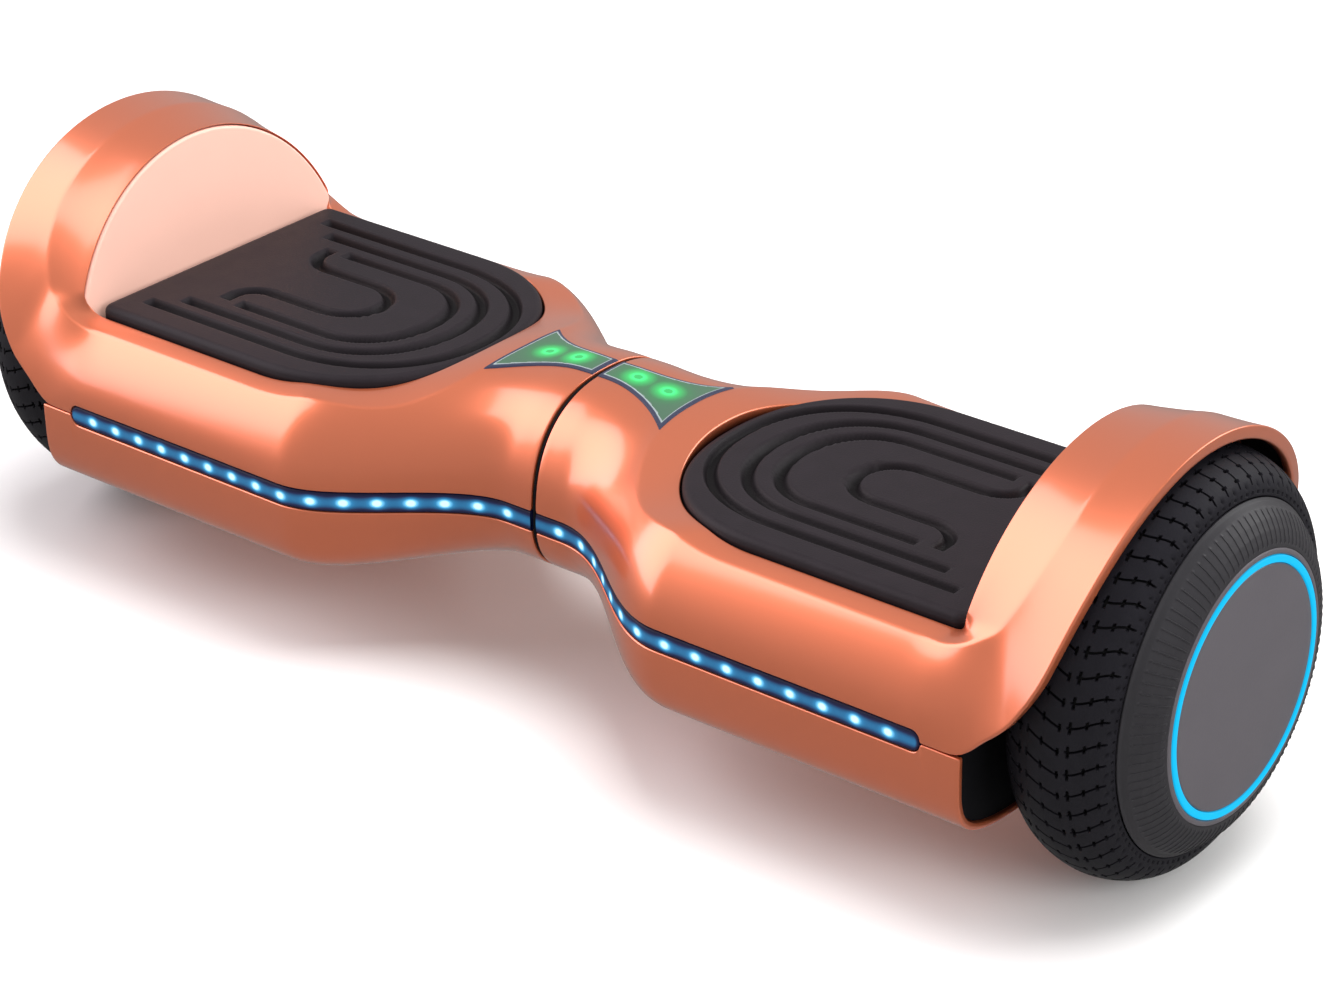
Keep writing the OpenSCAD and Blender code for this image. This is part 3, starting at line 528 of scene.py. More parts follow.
MAT = {
    "rose_gold": rose_gold(),
    # Satin finish for the fender panels, in a paler, pinker colour than the body's rose gold: painted
    # highlight.
    "satin_gold_painted_highlight": textured("satin_gold_painted_highlight", (0.89, 0.53, 0.43), 0.5, metal=0.1, grain=500, bump=0.06, vary=0.02),
    "black_plastic": textured("black_plastic", (0.004, 0.004, 0.005), 0.6, grain=1500, bump=0.2,
                              specular=0.1),
    # The pad and the tyre are darkened in their grooves by the groove attribute: painted shade.
    "pad_rubber": textured("pad_rubber", (0.017, 0.0135, 0.0165), 0.5, groove_shade="groove", grain=1300, bump=0.3,
                           depth=0.0003, vary=0.22, rough_vary=0.08, specular=0.16),
    "tyre": textured("tyre", (0.009, 0.0085, 0.0115), 0.5, groove_shade="groove", grain=1600, bump=0.25,
                     depth=0.0003, vary=0.3, specular=0.14),
    "hub_plastic": textured("hub_plastic", (0.022, 0.021, 0.024), 0.42, grain=1800, bump=0.15, vary=0.12,
                            specular=0.25),
    "hub_disc": textured("hub_disc", (0.112, 0.103, 0.116), 0.38, metal=0.35, grain=900, bump=0.15,
                         vary=0.08),
    "cast_aluminium": textured("cast_aluminium", (0.5, 0.5, 0.52), 0.45, metal=1.0, grain=700, bump=0.3),
    "steel": textured("steel", (0.6, 0.6, 0.62), 0.28, metal=1.0, grain=900, bump=0.15, stretch=(1, 8, 8)),
    "dark_steel": textured("dark_steel", (0.05, 0.05, 0.055), 0.35, metal=0.9, grain=900, bump=0.15),
    "nylon": textured("nylon", (0.75, 0.72, 0.62), 0.5, grain=900, bump=0.1),
    "cable": textured("cable", (0.02, 0.02, 0.02), 0.5, grain=900, bump=0.2),
    "copper": textured("copper", (0.62, 0.25, 0.1), 0.3, metal=1.0, grain=500, bump=0.4, stretch=(12, 1, 1)),
    "magnet": textured("magnet", (0.4, 0.4, 0.42), 0.25, metal=1.0, grain=700, bump=0.1),
    "rim_metal": textured("rim_metal", (0.06, 0.06, 0.065), 0.45, metal=0.7, grain=1200, bump=0.25),
    "green_board": textured("green_board", (0.02, 0.14, 0.05), 0.35, grain=300, bump=0.1, coat=0.4),
    "heat_sink": textured("heat_sink", (0.55, 0.55, 0.57), 0.35, metal=1.0, grain=600, bump=0.2,
                          stretch=(1, 10, 1)),
    "blue_board": textured("blue_board", (0.02, 0.07, 0.28), 0.35, grain=300, bump=0.1, coat=0.4),
    "battery": textured("battery", (0.02, 0.07, 0.3), 0.3, grain=120, bump=0.4, depth=0.0006, coat=0.3),
    "button": textured("button", (0.02, 0.02, 0.022), 0.55, grain=1500, bump=0.3),
    "lamps": textured("lamps", (0.8, 0.85, 0.9), 0.4, grain=500, bump=0.1),
}
MAT["lamps"].node_tree.nodes["Principled BSDF"].inputs["Emission Color"].default_value = (0.3, 0.6, 1, 1)
MAT["lamps"].node_tree.nodes["Principled BSDF"].inputs["Emission Strength"].default_value = 1.0
MAT["light_strip"] = lit_material("light_strip", [
    (0.0, (0.006, 0.006, 0.02), (0.0, 0.0, 0.004)), (0.2, (0.01, 0.012, 0.05), (0.004, 0.009, 0.03)),
    (0.4, (0.01, 0.03, 0.1), (0.006, 0.09, 0.18)), (0.6, (0.01, 0.05, 0.15), (0.02, 0.21, 0.38)),
    (0.8, (0.05, 0.2, 0.3), (0.13, 0.48, 0.78)), (0.95, (0.2, 0.3, 0.4), (0.55, 0.85, 1.0)),
], "glow", 1.0)
MAT["indicator"] = lit_material("indicator", [
    (0.0, (0.02, 0.022, 0.045), (0.006, 0.007, 0.02)), (0.12, (0.04, 0.045, 0.07), (0.01, 0.012, 0.02)),
    (0.2, (0.30, 0.36, 0.36), (0.05, 0.06, 0.06)), (0.3, (0.06, 0.085, 0.072), (0.015, 0.03, 0.02)),
    (0.5, (0.04, 0.10, 0.055), (0.02, 0.10, 0.035)), (0.72, (0.03, 0.2, 0.06), (0.03, 0.34, 0.09)),
    (0.9, (0.03, 0.3, 0.1), (0.06, 0.72, 0.20)), (1.0, (0.03, 0.2, 0.06), (0.02, 0.30, 0.08)),
], "glow", 1.0, rough=0.4)
MAT["ring_light"] = lit_material("ring_light", [
    (0.0, (0.0, 0.02, 0.04), (0.0, 0.16, 0.3)), (0.35, (0.0, 0.03, 0.05), (0.0, 0.42, 0.76)),
    (0.7, (0.0, 0.03, 0.05), (0.0, 0.53, 0.93)), (1.0, (0.0, 0.03, 0.05), (0.0, 0.56, 0.96)),
], "glow", 1.0)

for entry in frame["record"]["subparts"]:
    node = frame["nodes"][entry["node"]]
    node.data.materials.clear()
    node.data.materials.append(MAT[entry["material_slot"]])


# ---------- shells ----------
# Columns over which the evening out fades at each end of the corner, and how often it is done
CALM_SPREAD, CALM_ROUNDS = 47, 260


def calm(grid, count, share):
    """Evens out the first count rows along the columns of the corner below the fender, most in the side skin
    and least at the edge of the opening."""
    t = np.linspace(0, 1, count)
    strength = mix(0.06, 1, blend(0.1, 0.45, t)) * (1 - blend(0.75, 1, t))
    corner = np.where((share > 0) & (share < 1), 1.0, 0.0)
    bell = np.hanning(CALM_SPREAD)
    near = np.convolve(corner, bell / bell.sum(), "same")
    weight = near[1:-1, None, None] * strength[None, :, None] * 0.5
    for _ in range(CALM_ROUNDS):
        middle = (grid[:-2, :count] + grid[2:, :count]) / 2
        grid[1:-1, :count] += weight * (middle - grid[1:-1, :count])
    return grid


def cover_rows(col):
    """Rows of the top cover, and how many of them lie above its outer edge. They go from inside the opening
    over the ring and the crease, down the side skin, round the lip of the edge and up the inner wall."""
    opening, crease, edge = col[:3]
    share = col[7][:, None]
    arch = blend(0.3, 0.9, share)
    _, tilt = wheel_polar(opening)
    sideways = 5 * pts(1, -0.32 * sind(tilt), -0.32 * cosd(tilt))
    wall = mix(np.array([0, 0, -5]), sideways, blend(0.2, 0.7, share))
    inward = unit(pts(0, -edge[:, 1], AXIS_Z - edge[:, 2]))
    turn = mix(np.array([0, -WALL, 0]), inward * 5.6, blend(0.25, 0.9, share))
    at_seam = (np.abs(edge[:, 0] - SEAM) < 1e-6)[:, None]
    turn = np.where(at_seam, unit(pts(0, -edge[:, 1], LINE_Z - edge[:, 2])) * 3.2, turn)
    lip = edge + turn
    under = lip + np.where(at_seam, [2.5, 0, 0], mix(np.array([0, 0, 2]), np.array([-3.4, 0, 0]), arch))
    out = mix(np.array([0, 0, 1]), -inward, arch)
    swell = mix(0.25, -0.35, arch)
    ring = [mix(opening, crease, f) + out * swell * 4 * f * (1 - f) for f in (0.2, 0.35, 0.5, 0.65, 0.8)]
    near, last = skin(col, 0.09, 0), skin(col, 0.95, 0)
    above = [
        opening + wall,
        *rounded(opening + wall, opening, ring[0], 0.9),
        *ring,
        *rounded(ring[-1], crease, near, reach(crease, near, 1.5), 7),
        near,
        *[skin(col, t, 0) for t in np.linspace(0.13, 0.92, 24)],
    ]
    below = [
        last,
        *rounded(last, edge, lip, reach(edge, last, mix(0.7, 1.9, arch))),
        *rounded(edge, lip, under, mix(0.3, 1.6, arch), 5),
        under,
        *[skin(col, t, WALL) for t in (0.8, 0.55, 0.3, 0.08)],
    ]
    return np.stack(above + below, 1), len(above)


def top_cover(name, side):
    grids = []
    for front, sign in ((True, -1), (False, 1)):
        col = columns(front)
        grid, count = cover_rows(col)
        grids.append(calm(grid, count, col[7]) * [1, sign, 1])
    loop = np.concatenate([grids[0], grids[1][-2:0:-1]])
    return make_mesh(name, flip(loop, side), quads(len(loop), loop.shape[1], True, True))


def bottom_cover(name, side, holes):
    """Lower shell: an outer and an inner wall from front to rear, closed at both ends, with its holes."""
    runs = (SEAM, 120, 70), (120, 206, 24), (206, STRIP_END + 2, 24), (STRIP_END + 2, COVER_END, 8)
    s = np.unique(np.concatenate([np.linspace(*run) for run in runs]))
    front, rear = (angle_down(s, edge_lift(s, at_front)) for at_front in (True, False))
    down = np.linspace(0, 1, 46) ** 0.85
    walls = []
    for inset in (0, WALL):
        fore = [lower(s, mix(front, 90, t), inset) * [1, -1, 1] for t in down]
        aft = [lower(s, mix(rear, 90, t), inset) for t in down[-2::-1]]
        walls.append(np.stack(fore + aft, 1))
    ring = np.concatenate([walls[0], walls[1][:, ::-1]], 1)
    m = ring.shape[1]
    far, j = (len(s) - 1) * m, np.arange(m // 2 - 1)
    end = np.stack([j, m - 1 - j, m - 2 - j, j + 1], -1)
    faces = np.concatenate([quads(len(s), m, False, True), end, far + end[:, ::-1]])
    obj = make_mesh(name, flip(ring, side), faces, sharp=40)
    bevel = obj.modifiers.new("edge", "BEVEL")
    bevel.width = 0.0006
    bevel.segments = 3
    bevel.limit_method = "ANGLE"
    bevel.angle_limit = math.radians(50)
    bevel.harden_normals = False
    for cut in holes:
        mod = obj.modifiers.new("hole", "BOOLEAN")
        mod.object = cut(side)
        mod.operation = "DIFFERENCE"
        mod.solver = "EXACT"
    apply_modifiers(obj)
    obj.data.set_sharp_from_angle(angle=math.radians(40))
    return obj


def seam_gasket(name):
    """Black ring between the two halves, a little below their surface."""
    a = np.linspace(0, 360, 181)[:-1]
    fold = np.minimum(a % 180, 180 - a % 180)
    s = np.full_like(a, SEAM)
    mirror = pts(1, np.where((a < 90) | (a > 270), 1, -1), 1)

    def loop(inset, x):
        ring = np.where((a < 180)[:, None], upper(s, fold, inset), lower(s, fold, inset)) * mirror
        return ring * [0, 1, 1] + [x, 0, 0]

    section = (0.7, -0.5), (0.7, 0.4), (1.1, 0.75), (7, 0.75), (7, -0.85), (1.1, -0.85)
    grid = np.stack([loop(inset, x) for inset, x in section], 1)
    return make_mesh(name, grid, quads(len(a), len(section), True, True), sharp=40)


def apply_modifiers(obj):
    """Leaves the mesh as its modifiers make it, and removes the cutters."""
    bpy.context.view_layer.update()
    graph = bpy.context.evaluated_depsgraph_get()
    mesh = bpy.data.meshes.new_from_object(obj.evaluated_get(graph))
    obj.modifiers.clear()
    obj.data = mesh
    for other in [o for o in bpy.data.objects if o.name.startswith("cutter")]:
        bpy.data.objects.remove(other)


def cylinder(name, start, direction, radius, length):
    """Plain round cutter for a hole, in mm."""
    n = 64
    q = np.arange(n) * 2 * np.pi / n
    d = np.array(direction, float)
    e1 = unit(np.cross(d, [0.3, 0.2, 0.9]))
    e2 = np.cross(d, e1)
    ring = radius * (np.cos(q)[:, None] * e1 + np.sin(q)[:, None] * e2)
    points = np.stack([np.array(start) + ring, np.array(start) + d * length + ring])
    caps = [list(range(n))[::-1], list(range(n, 2 * n))]
    faces = quads(2, n, False, True)
    mesh = bpy.data.meshes.new(name)
    mesh.from_pydata((points.reshape(-1, 3) * MM).tolist(), [], faces.tolist() + caps)
    obj = bpy.data.objects.new(name, mesh)
    bpy.context.scene.collection.objects.link(obj)
    return obj


# ---------- plates: footpads and fender panels ----------
def plate_grid(stations, widths, n):
    """A sheet with its own outline: rows at the stations, n points across each."""
    v = np.linspace(-1, 1, n)
    v = 0.55 * v + 0.45 * np.sin(v * np.pi / 2)
    return stations[:, None] + 0 * v[None, :], widths[:, None] * v[None, :]


def plate_shell(top, drop):
    """Closes a sheet into a solid: drop(points) gives the loops that its rim goes down by, and a cap closes
    the last one. Returns points, faces and caps."""
    n, m = top.shape[:2]
    down, across, up = np.arange(n) * m, (n - 1) * m + np.arange(1, m), np.arange(n - 2, -1, -1) * m + m - 1
    rim = np.concatenate([down, across, up])
    points = [top.reshape(-1, 3)]
    faces = [quads(n, m)]
    last = rim
    count = n * m
    for low in drop(points[0][rim]):
        new = count + np.arange(len(rim))
        k = np.arange(len(rim) - 1)
        faces.append(np.stack([last[k], new[k], new[k + 1], last[k + 1]], -1))
        faces.append(np.array([[last[-1], new[-1], new[0], last[0]]]))
        points.append(low)
        count += len(rim)
        last = new
    return np.concatenate(points), np.concatenate(faces), [list(last)]


def rounding(d, r):
    """Drop of a rounded edge at distance d inside the outline."""
    d = np.clip(d, 0, r)
    return r - np.sqrt(np.maximum(r * r - (r - d) ** 2, 0))


def groove_line(nose, width, end):
    """Middle line of a U shaped groove that follows the inner end of the pad."""
    a = np.linspace(-90, 90, 61)
    x, y = superarc(np.abs(a), PAD_POWER, ARC_X, ARC_X - nose, width)
    line = np.stack([x, np.sign(a) * y], -1)
    return np.concatenate([[[end, -width]], line, [[end, width]]])


# Nose station, half width and end station of the U shaped grooves; half width and depth of all grooves
GROOVES = [(68.5, 54.6, 209.5), (84.3, 43.8, 198.0), (97.3, 33.0, 176.5)]
GROOVE_HALF, GROOVE_DEPTH = 3.1, 3.4


def omega_line():
    """Middle line of the omega shaped groove: a round end, two legs, and feet that turn outward."""
    leg_y, foot_x, foot_y, turn_x, turn_y = 16.4, 185, 40, 13, 11
    x, y = superarc(np.linspace(0, 90, 31), 2.1, 145, 18.6, leg_y)
    t = np.linspace(0, np.pi / 2, 14)
    turn = np.stack([foot_x - turn_x + turn_x * np.sin(t), leg_y + turn_y * (1 - np.cos(t))], -1)
    side = np.concatenate([np.stack([x, y], -1), turn, [[foot_x, foot_y]]])
    return np.concatenate([side[::-1] * [1, -1], side[1:]])


def groove_share(d):
    """1 at the bottom of a groove and 0 outside it, at distance d from its middle line."""
    return 1 - blend(GROOVE_HALF - 2.0, GROOVE_HALF + 0.3, d)


def groove_depth(x, y):
    """Depth of the footpad's grooves at (x, y)."""
    share = np.zeros_like(x)
    for nose, width, end in GROOVES:
        d = np.maximum(distance_to(groove_line(nose, width, end + 12), x, y), x - end + GROOVE_HALF)
        share = np.maximum(share, groove_share(d))
    d = np.maximum(distance_to(omega_line(), x, y), np.abs(y) - 33.2 + GROOVE_HALF)
    return GROOVE_DEPTH * np.maximum(share, groove_share(d))


def footpad(name, side):
    """Rubber pad: a round inner end, straight sides, small corners at the fender, and grooves in its top."""
    nose_x, nose_w = superarc(np.linspace(0, 90, 70), PAD_POWER, ARC_X, PAD_DEPTH, PAD_W)
    end_run, corner = 8, 5
    end = PAD_END - end_run + end_run * np.sin(np.linspace(0.1, np.pi / 2, 18))
    tail = np.concatenate([np.linspace(ARC_X + 0.8, PAD_END - end_run, 108), end])
    past = np.maximum(tail - PAD_END + corner, 0)
    tail_w = PAD_W - corner + np.sqrt(np.maximum(corner ** 2 - past ** 2, 0))
    stations, widths = np.concatenate([nose_x, tail]), np.concatenate([nose_w, tail_w])
    order = np.argsort(stations, kind="stable")
    stations, widths = stations[order], np.maximum(widths[order], 0.02)
    x, y = plate_grid(stations, widths, 240)
    d = distance_to(outline_of(stations, widths), x, y)
    cut = groove_depth(x, y)
    z = PAD_TOP - cut - rounding(d, 3.4) - 0.25 * blend(10, 0, d)
    base = PAD_LO[2] + 16

    def drop(rim):
        low = rim.copy()
        low[:, 2] = base
        return [mix(rim, low, 0.5), low]

    points, faces, caps = plate_shell(np.stack([x, y, z], -1), drop)
    # Groove depth on the top and 0.3 on the rim and underside; the material darkens the rubber by it, as
    # painted shade in the grooves and, less, on the sides.
    groove = np.concatenate([np.clip(cut / GROOVE_DEPTH, 0, 1).ravel(), np.full(len(points) - cut.size, 0.3)])
    return make_mesh(name, flip(points, side), faces, caps, {"groove": groove}, sharp=60)


def fender_panel(name, side):
    """Flat D: the upper part of an ellipse, which curls in to a narrower foot behind the pad."""
    gap, foot, foot_w, curl_z, start = 1.0, 108.0, 66.0, 122, 66
    high, wide = D_H - gap, D_W - gap
    foot_z = np.linspace(foot, D_Z + high * cosd(start) - 0.5, 26)
    z = np.concatenate([foot_z, D_Z + high * cosd(np.linspace(start, 0, 80))])
    ellipse = wide * np.sqrt(np.maximum(1 - ((z - D_Z) / high) ** 2, 0))
    curl = mix(foot_w, ellipse, blend(foot - 2, curl_z, z) ** 0.6)
    width = np.maximum(np.where(z < curl_z, curl, ellipse), 0.02)
    zz, yy = plate_grid(z, width, 150)
    outline = outline_of(z, width)
    d = np.minimum(distance_to(outline[:len(z)], zz, yy), distance_to(outline[len(z):], zz, yy))
    bulge = 0.5 * blend(0, 40, d)
    xx = d_x(zz) - 0.3 + rounding(d, 1.2) - bulge

    def drop(rim):
        low = rim.copy()
        low[:, 0] = d_x(rim[:, 2]) + 3.0
        return [low]

    points, faces, caps = plate_shell(np.stack([xx, yy, zz], -1), drop)
    return make_mesh(name, flip(points, side), faces, caps, sharp=60)


# ---------- wheels ----------
# Sipes round the tyre, mm between them, and where the rows of one pitch lie, in pitches
PITCHES, PITCH = 55, 9.6
SIPE_ROWS = np.array([0, 0.3, 0.54, 0.9, 1.7, 2.6, 3.6, 4.8, 6.0, 7.0, 7.9, 8.7, 9.06, 9.3]) / PITCH
# Short cuts along the tread: distance from its middle and half length
TICKS = ((0.0, 1.5), (6.4, 1.5), (10.2, 2.0), (16.0, 1.3), (21.0, 0.9))
CROWN_DROP, CROWN_N, TREAD_DEPTH = 13.0, 1.85, 1.5


def sipe_turn(run):
    """Where the sipe lies, in pitches round the tyre, at run mm across the tread from its middle."""
    outer = np.where(run > 0, 0.0, 0.5) - 0.42 * blend(22, 10, np.abs(run))
    middle = -(0.21 + 0.045 * np.clip(run, -6.2, 6.2))
    return mix(middle, outer, blend(6.2, 9, np.abs(run)))


def slot_at(d, half):
    """1 inside a slot of that half width and 0 outside it, at distance d from its middle."""
    return 1 - blend(half - 0.12, half + 0.12, d)


def tread_depth(run, u):
    """Depth of the tread pattern at run across the tyre, u of a pitch past a sipe."""
    half, along = np.abs(run), np.minimum(u, 1 - u) * PITCH
    across = np.maximum(1 - blend(6.6, 7.2, half), blend(8.8, 9.5, half) * (1 - blend(23.6, 24.4, half)))
    depth = slot_at(along, 0.42) * across
    for at, length in TICKS:
        tick = slot_at(np.abs(half - at), 0.5) * (1 - blend(length - 0.3, length + 0.3, along))
        depth = np.maximum(depth, tick)
    notch = (1 - blend(0.6, 1.0, PITCH / 2 - along)) * (1 - blend(0.5, 0.8, np.abs(half - 24.4)))
    twice = (u * 2) % 1.0
    dent = (1 - blend(0.4, 0.7, np.minimum(twice, 1 - twice) * PITCH / 2)) * slot_at(np.abs(half - 27.4), 0.7)
    return TREAD_DEPTH * depth + 0.9 * notch + 0.7 * dent


def profile_normal(line):
    """Unit normals along a section, on its left."""
    return unit(np.stack([-np.gradient(line[:, 1]), np.gradient(line[:, 0])], -1))


def tyre(name, side):
    """Round crown, side walls and beads, on a grid that is sheared along the sipes and sunk by the tread."""
    w = (TYRE_HI[0] - TYRE_LO[0]) / 2
    a = np.linspace(0, 90, 60)
    crown = np.stack([w * power(sind(a), CROWN_N), TYRE_R - CROWN_DROP * (1 - power(cosd(a), CROWN_N))], -1)
    bead = (w + 0.1, 70.3), (w + 0.25, 69.8), (w + 0.1, 69.3), (w - 0.6, 68.9), (w - 2.9, 66), (w - 4.4, 60.3)
    line = np.concatenate([crown, bead])
    along = np.concatenate([[0], np.cumsum(np.linalg.norm(np.diff(line, axis=0), axis=1))])
    marks = [at + d for at, _ in TICKS for d in (-0.62, -0.38, 0.38, 0.62)]
    marks += [26.6, 26.8, 28.0, 28.2, 6.6, 7.2, 8.8, 9.5]
    even = np.linspace(0, 29, 27), np.linspace(29.6, along[-1], 8)
    run = np.unique(np.round(np.concatenate([marks, *even]), 2))
    run = run[run >= 0]
    run = run[np.concatenate([[True], np.diff(run) > 0.14])]
    half = np.stack([np.interp(run, along, line[:, k]) for k in (0, 1)], -1)
    section = np.concatenate([half[::-1] * [-1, 1], half[1:]])
    run = np.concatenate([-run[::-1], run[1:]])
    normal = profile_normal(section)
    u = np.tile(SIPE_ROWS, PITCHES)[:, None]
    turn = np.repeat(np.arange(PITCHES), len(SIPE_ROWS))[:, None] + u + sipe_turn(run)[None, :]
    depth = tread_depth(run[None, :], u)
    q = turn * 2 * np.pi / PITCHES
    x = section[None, :, 0] - depth * normal[None, :, 0] + TYRE_X
    r = section[None, :, 1] - depth * normal[None, :, 1]
    grid = pts(x, r * np.sin(q), AXIS_Z + r * np.cos(q))
    faces = quads(len(q), grid.shape[1], True, True)
    # The tread depth is also stored for the material, which darkens the rubber in the grooves as painted
    # shade.
    return make_mesh(name, flip(grid, side), faces, attributes={"groove": depth / TREAD_DEPTH}, sharp=38)


# Ribs round the cone, where the rows of one rib lie, and how far it stands out
RIBS = 104
RIB_ROWS = np.array([0, 0.05, 0.09, 0.3, 0.5, 0.7, 0.91, 0.95])
RIB_HEIGHT = 0.28


def hub_cone(name, side):
    """Cone from the tyre's bead out over a raised edge and down to the disc, with ribs on its face."""
    rise = (CONE_LO[0] + 0.2, 59.7), (284.2, 60.2), (285.6, 66.3), (286.9, CONE_R - 0.6)
    edge = (287.5, CONE_R + 0.3), (288.2, CONE_R + 0.3), (289.0, CONE_R - 0.7)
    slope = (291, 66.5), (294.4, 63), (296.8, 59.5), (298.2, 56.5), (298.8, 54.2)
    rim = (299.0, DISC_R + 0.15), (296.5, DISC_R + 0.12)
    face = resample(rise + edge + slope + rim, 84)
    x, r = face[None, :, 0], face[None, :, 1]
    u = np.tile(RIB_ROWS, RIBS)[:, None]
    across = 1 - blend(0.05, 0.09, np.minimum(u, 1 - u))
    lift = RIB_HEIGHT * across * blend(54.6, 55.2, r) * (1 - blend(65.4, 66.4, r)) * (x > 288)
    normal = np.abs(profile_normal(face))
    q = (np.repeat(np.arange(RIBS), len(RIB_ROWS))[:, None] + u) * 2 * np.pi / RIBS
    x, r = x + lift * normal[None, :, 0], r + lift * normal[None, :, 1]
    grid = pts(x, r * np.sin(q), AXIS_Z + r * np.cos(q))
    return make_mesh(name, flip(grid, side), quads(len(q), grid.shape[1], True, True), sharp=50)


def disc_and_ring(side, word):
    """Disc with a slight dome and a channel near its edge, and the light ring in the channel."""
    ring_in = RING_OUT - 3.0
    r = np.linspace(0.05, ring_in - 0.9, 24)
    dome = [(0.25 - 0.25 * (v / ring_in) ** 2, v) for v in r]
    channel = [(-0.05, ring_in - 0.5), (-0.5, ring_in - 0.1), (-1.2, ring_in - 0.05),
               (-1.2, RING_OUT + 0.05), (-0.5, RING_OUT + 0.1), (-0.05, RING_OUT + 0.5), (0, RING_OUT + 0.9)]
    rim = [(-0.05, DISC_R - 0.6), (-0.5, DISC_R), (-2.6, DISC_R), (-2.8, DISC_R - 0.6), (-2.8, 0.05)]
    line = [(DISC_X + x, v) for x, v in dome + channel + rim]
    faces = quads(192, len(line), True, True)
    disc = make_mesh("hub_disc_face_" + word, revolve(line, 192, side), faces, sharp=40)
    mid, half = (ring_in + RING_OUT) / 2, (RING_OUT - ring_in) / 2 - 0.05
    t = np.linspace(0, np.pi, 15)
    bow = [(DISC_X - 0.35 + 0.9 * math.sin(v) ** 0.7, mid - half * math.cos(v)) for v in t]
    arc = [(DISC_X - 1.1, mid - half), *bow, (DISC_X - 1.1, mid + half)]
    glow = np.array([0.2, *(0.25 + 0.75 * math.sin(v) for v in t), 0.2])
    faces = quads(256, len(arc), True, True)
    lit = {"glow": np.tile(glow, (256, 1))}
    return disc, make_mesh("glow_ring_" + word, revolve(arc, 256, side), faces, attributes=lit)


# ---------- lights on the body ----------
def lit_plate(name, side, top, drop, glow, sharp):
    """Closed lens whose glow is given on its face and is nothing behind it."""
    points, faces, caps = plate_shell(top, drop)
    values = np.concatenate([glow.ravel(), np.zeros(len(points) - glow.size)])
    return make_mesh(name, flip(points, side), faces, caps, {"glow": values}, sharp)


def lamp_stations(count):
    """Stations of the lamps, evenly spaced along the curved strip."""
    s = np.linspace(13.5, 207, 400)
    run = np.concatenate([[0], np.cumsum(np.hypot(np.diff(s), np.diff(half_w(s))))])
    return np.interp(np.linspace(0, run[-1], count), run, s)


def led_strip(name, side, lamps):
    """Clear strip along the front: dark edges, a blue band along its middle and a bright dot at each lamp."""
    r = STRIP_H
    flat_end = STRIP_END - r
    end = flat_end + r * np.sin(np.linspace(0.05, np.pi / 2, 16))
    s = np.concatenate([np.linspace(SEAM + 0.3, flat_end, 420), end])
    past = np.maximum(s - flat_end, 0) / r
    h = np.maximum(r * np.sqrt(np.maximum(1 - past ** STRIP_POWER, 0)), 0.02)
    ss, zz = plate_grid(s, h, 31)
    d = distance_to(outline_of(s, h)[::2], ss, zz)
    up = np.abs(zz)
    yy = -(half_w(ss) + 0.12 - rounding(d, 1.0) - 0.25 * np.clip(up / r, 0, 1) ** 2)
    at = lamp_stations(lamps)
    slant = np.hypot(1, 0.6 * (blend(14, 60, at) - blend(60, 98, at)))
    gap = np.min(np.hypot((ss[..., None] - at) * slant, zz[..., None]), -1)
    band = 0.45 * np.exp(-((up / 2.5) ** 3))
    dots = 0.46 * np.exp(-((gap / 2.6) ** 2.4)) + 0.14 * np.exp(-((gap / 4.2) ** 2))
    glow = np.maximum(band, 0.42 * np.exp(-((up / 2.7) ** 3)) + dots) * blend(0, 1.6, d)
    front = np.stack([ss, yy, LINE_Z + zz], -1)
    return lit_plate(name, side, front, lambda rim: [rim + [0, 2.2, 0]], glow, 70)


# Stations of the two lit dots of an indicator lens
LENS_DOTS = (15.6, 31.0)


def indicator_lens(name, side):
    """Arrow shaped lens beside the seam: dark edge, pale bevel line and green body with two bright dots."""
    tip_x, tip_y, seam_y = 46.0, 24.3, 8.3
    uu, v = np.meshgrid(np.linspace(0, 1, 90), np.linspace(-1, 1, 81), indexing="ij")
    s = SEAM + 0.15 + uu * (tip_x - 1.4 * (1 - v ** 2) - SEAM)
    y = v * (seam_y + (tip_y - seam_y) * (s / tip_x) ** 2.6)
    sheet = np.stack([s, y], -1)
    rim = np.concatenate([sheet[:, 0], sheet[-1], sheet[::-1, -1], sheet[0, ::-1]])
    d = distance_to(rim, s, y)
    z = crown_z(s, y) + 0.75 - rounding(d, 1.1) * 0.7
    dots = np.min(np.hypot(s[..., None] - np.array(LENS_DOTS), (y - 0.3)[..., None]), -1)
    body = 0.36 + 0.5 * np.exp(-((dots / 6.8) ** 2)) + 0.15 * np.exp(-((dots / 2.6) ** 2))
    body = np.where(dots < 1.7, 1.0, np.minimum(body, 0.97))
    bevel = np.maximum(0.2 - 0.1 * np.abs(d - 1.9) / 0.5, 0.12)
    glow = np.where(d < 1.5, 0.02 + 0.04 * d, np.where(d < 2.3, bevel, body))
    return lit_plate(name, side, np.stack([s, y, z], -1), lambda rim: [rim - [0, 0, 1.4]], glow, 60)


HOLE_R = 9.6


def hole(node):
    """Maker of the cutter for a socket or button at the rear of the left half."""
    lo, hi = mm_box(node)
    x, z = abs((lo[0] + hi[0]) / 2), (lo[2] + hi[2]) / 2
    return lambda side: cylinder("cutter_%d" % round(x), [side * x, 70, z], [0, 1, 0], HOLE_R, 40)


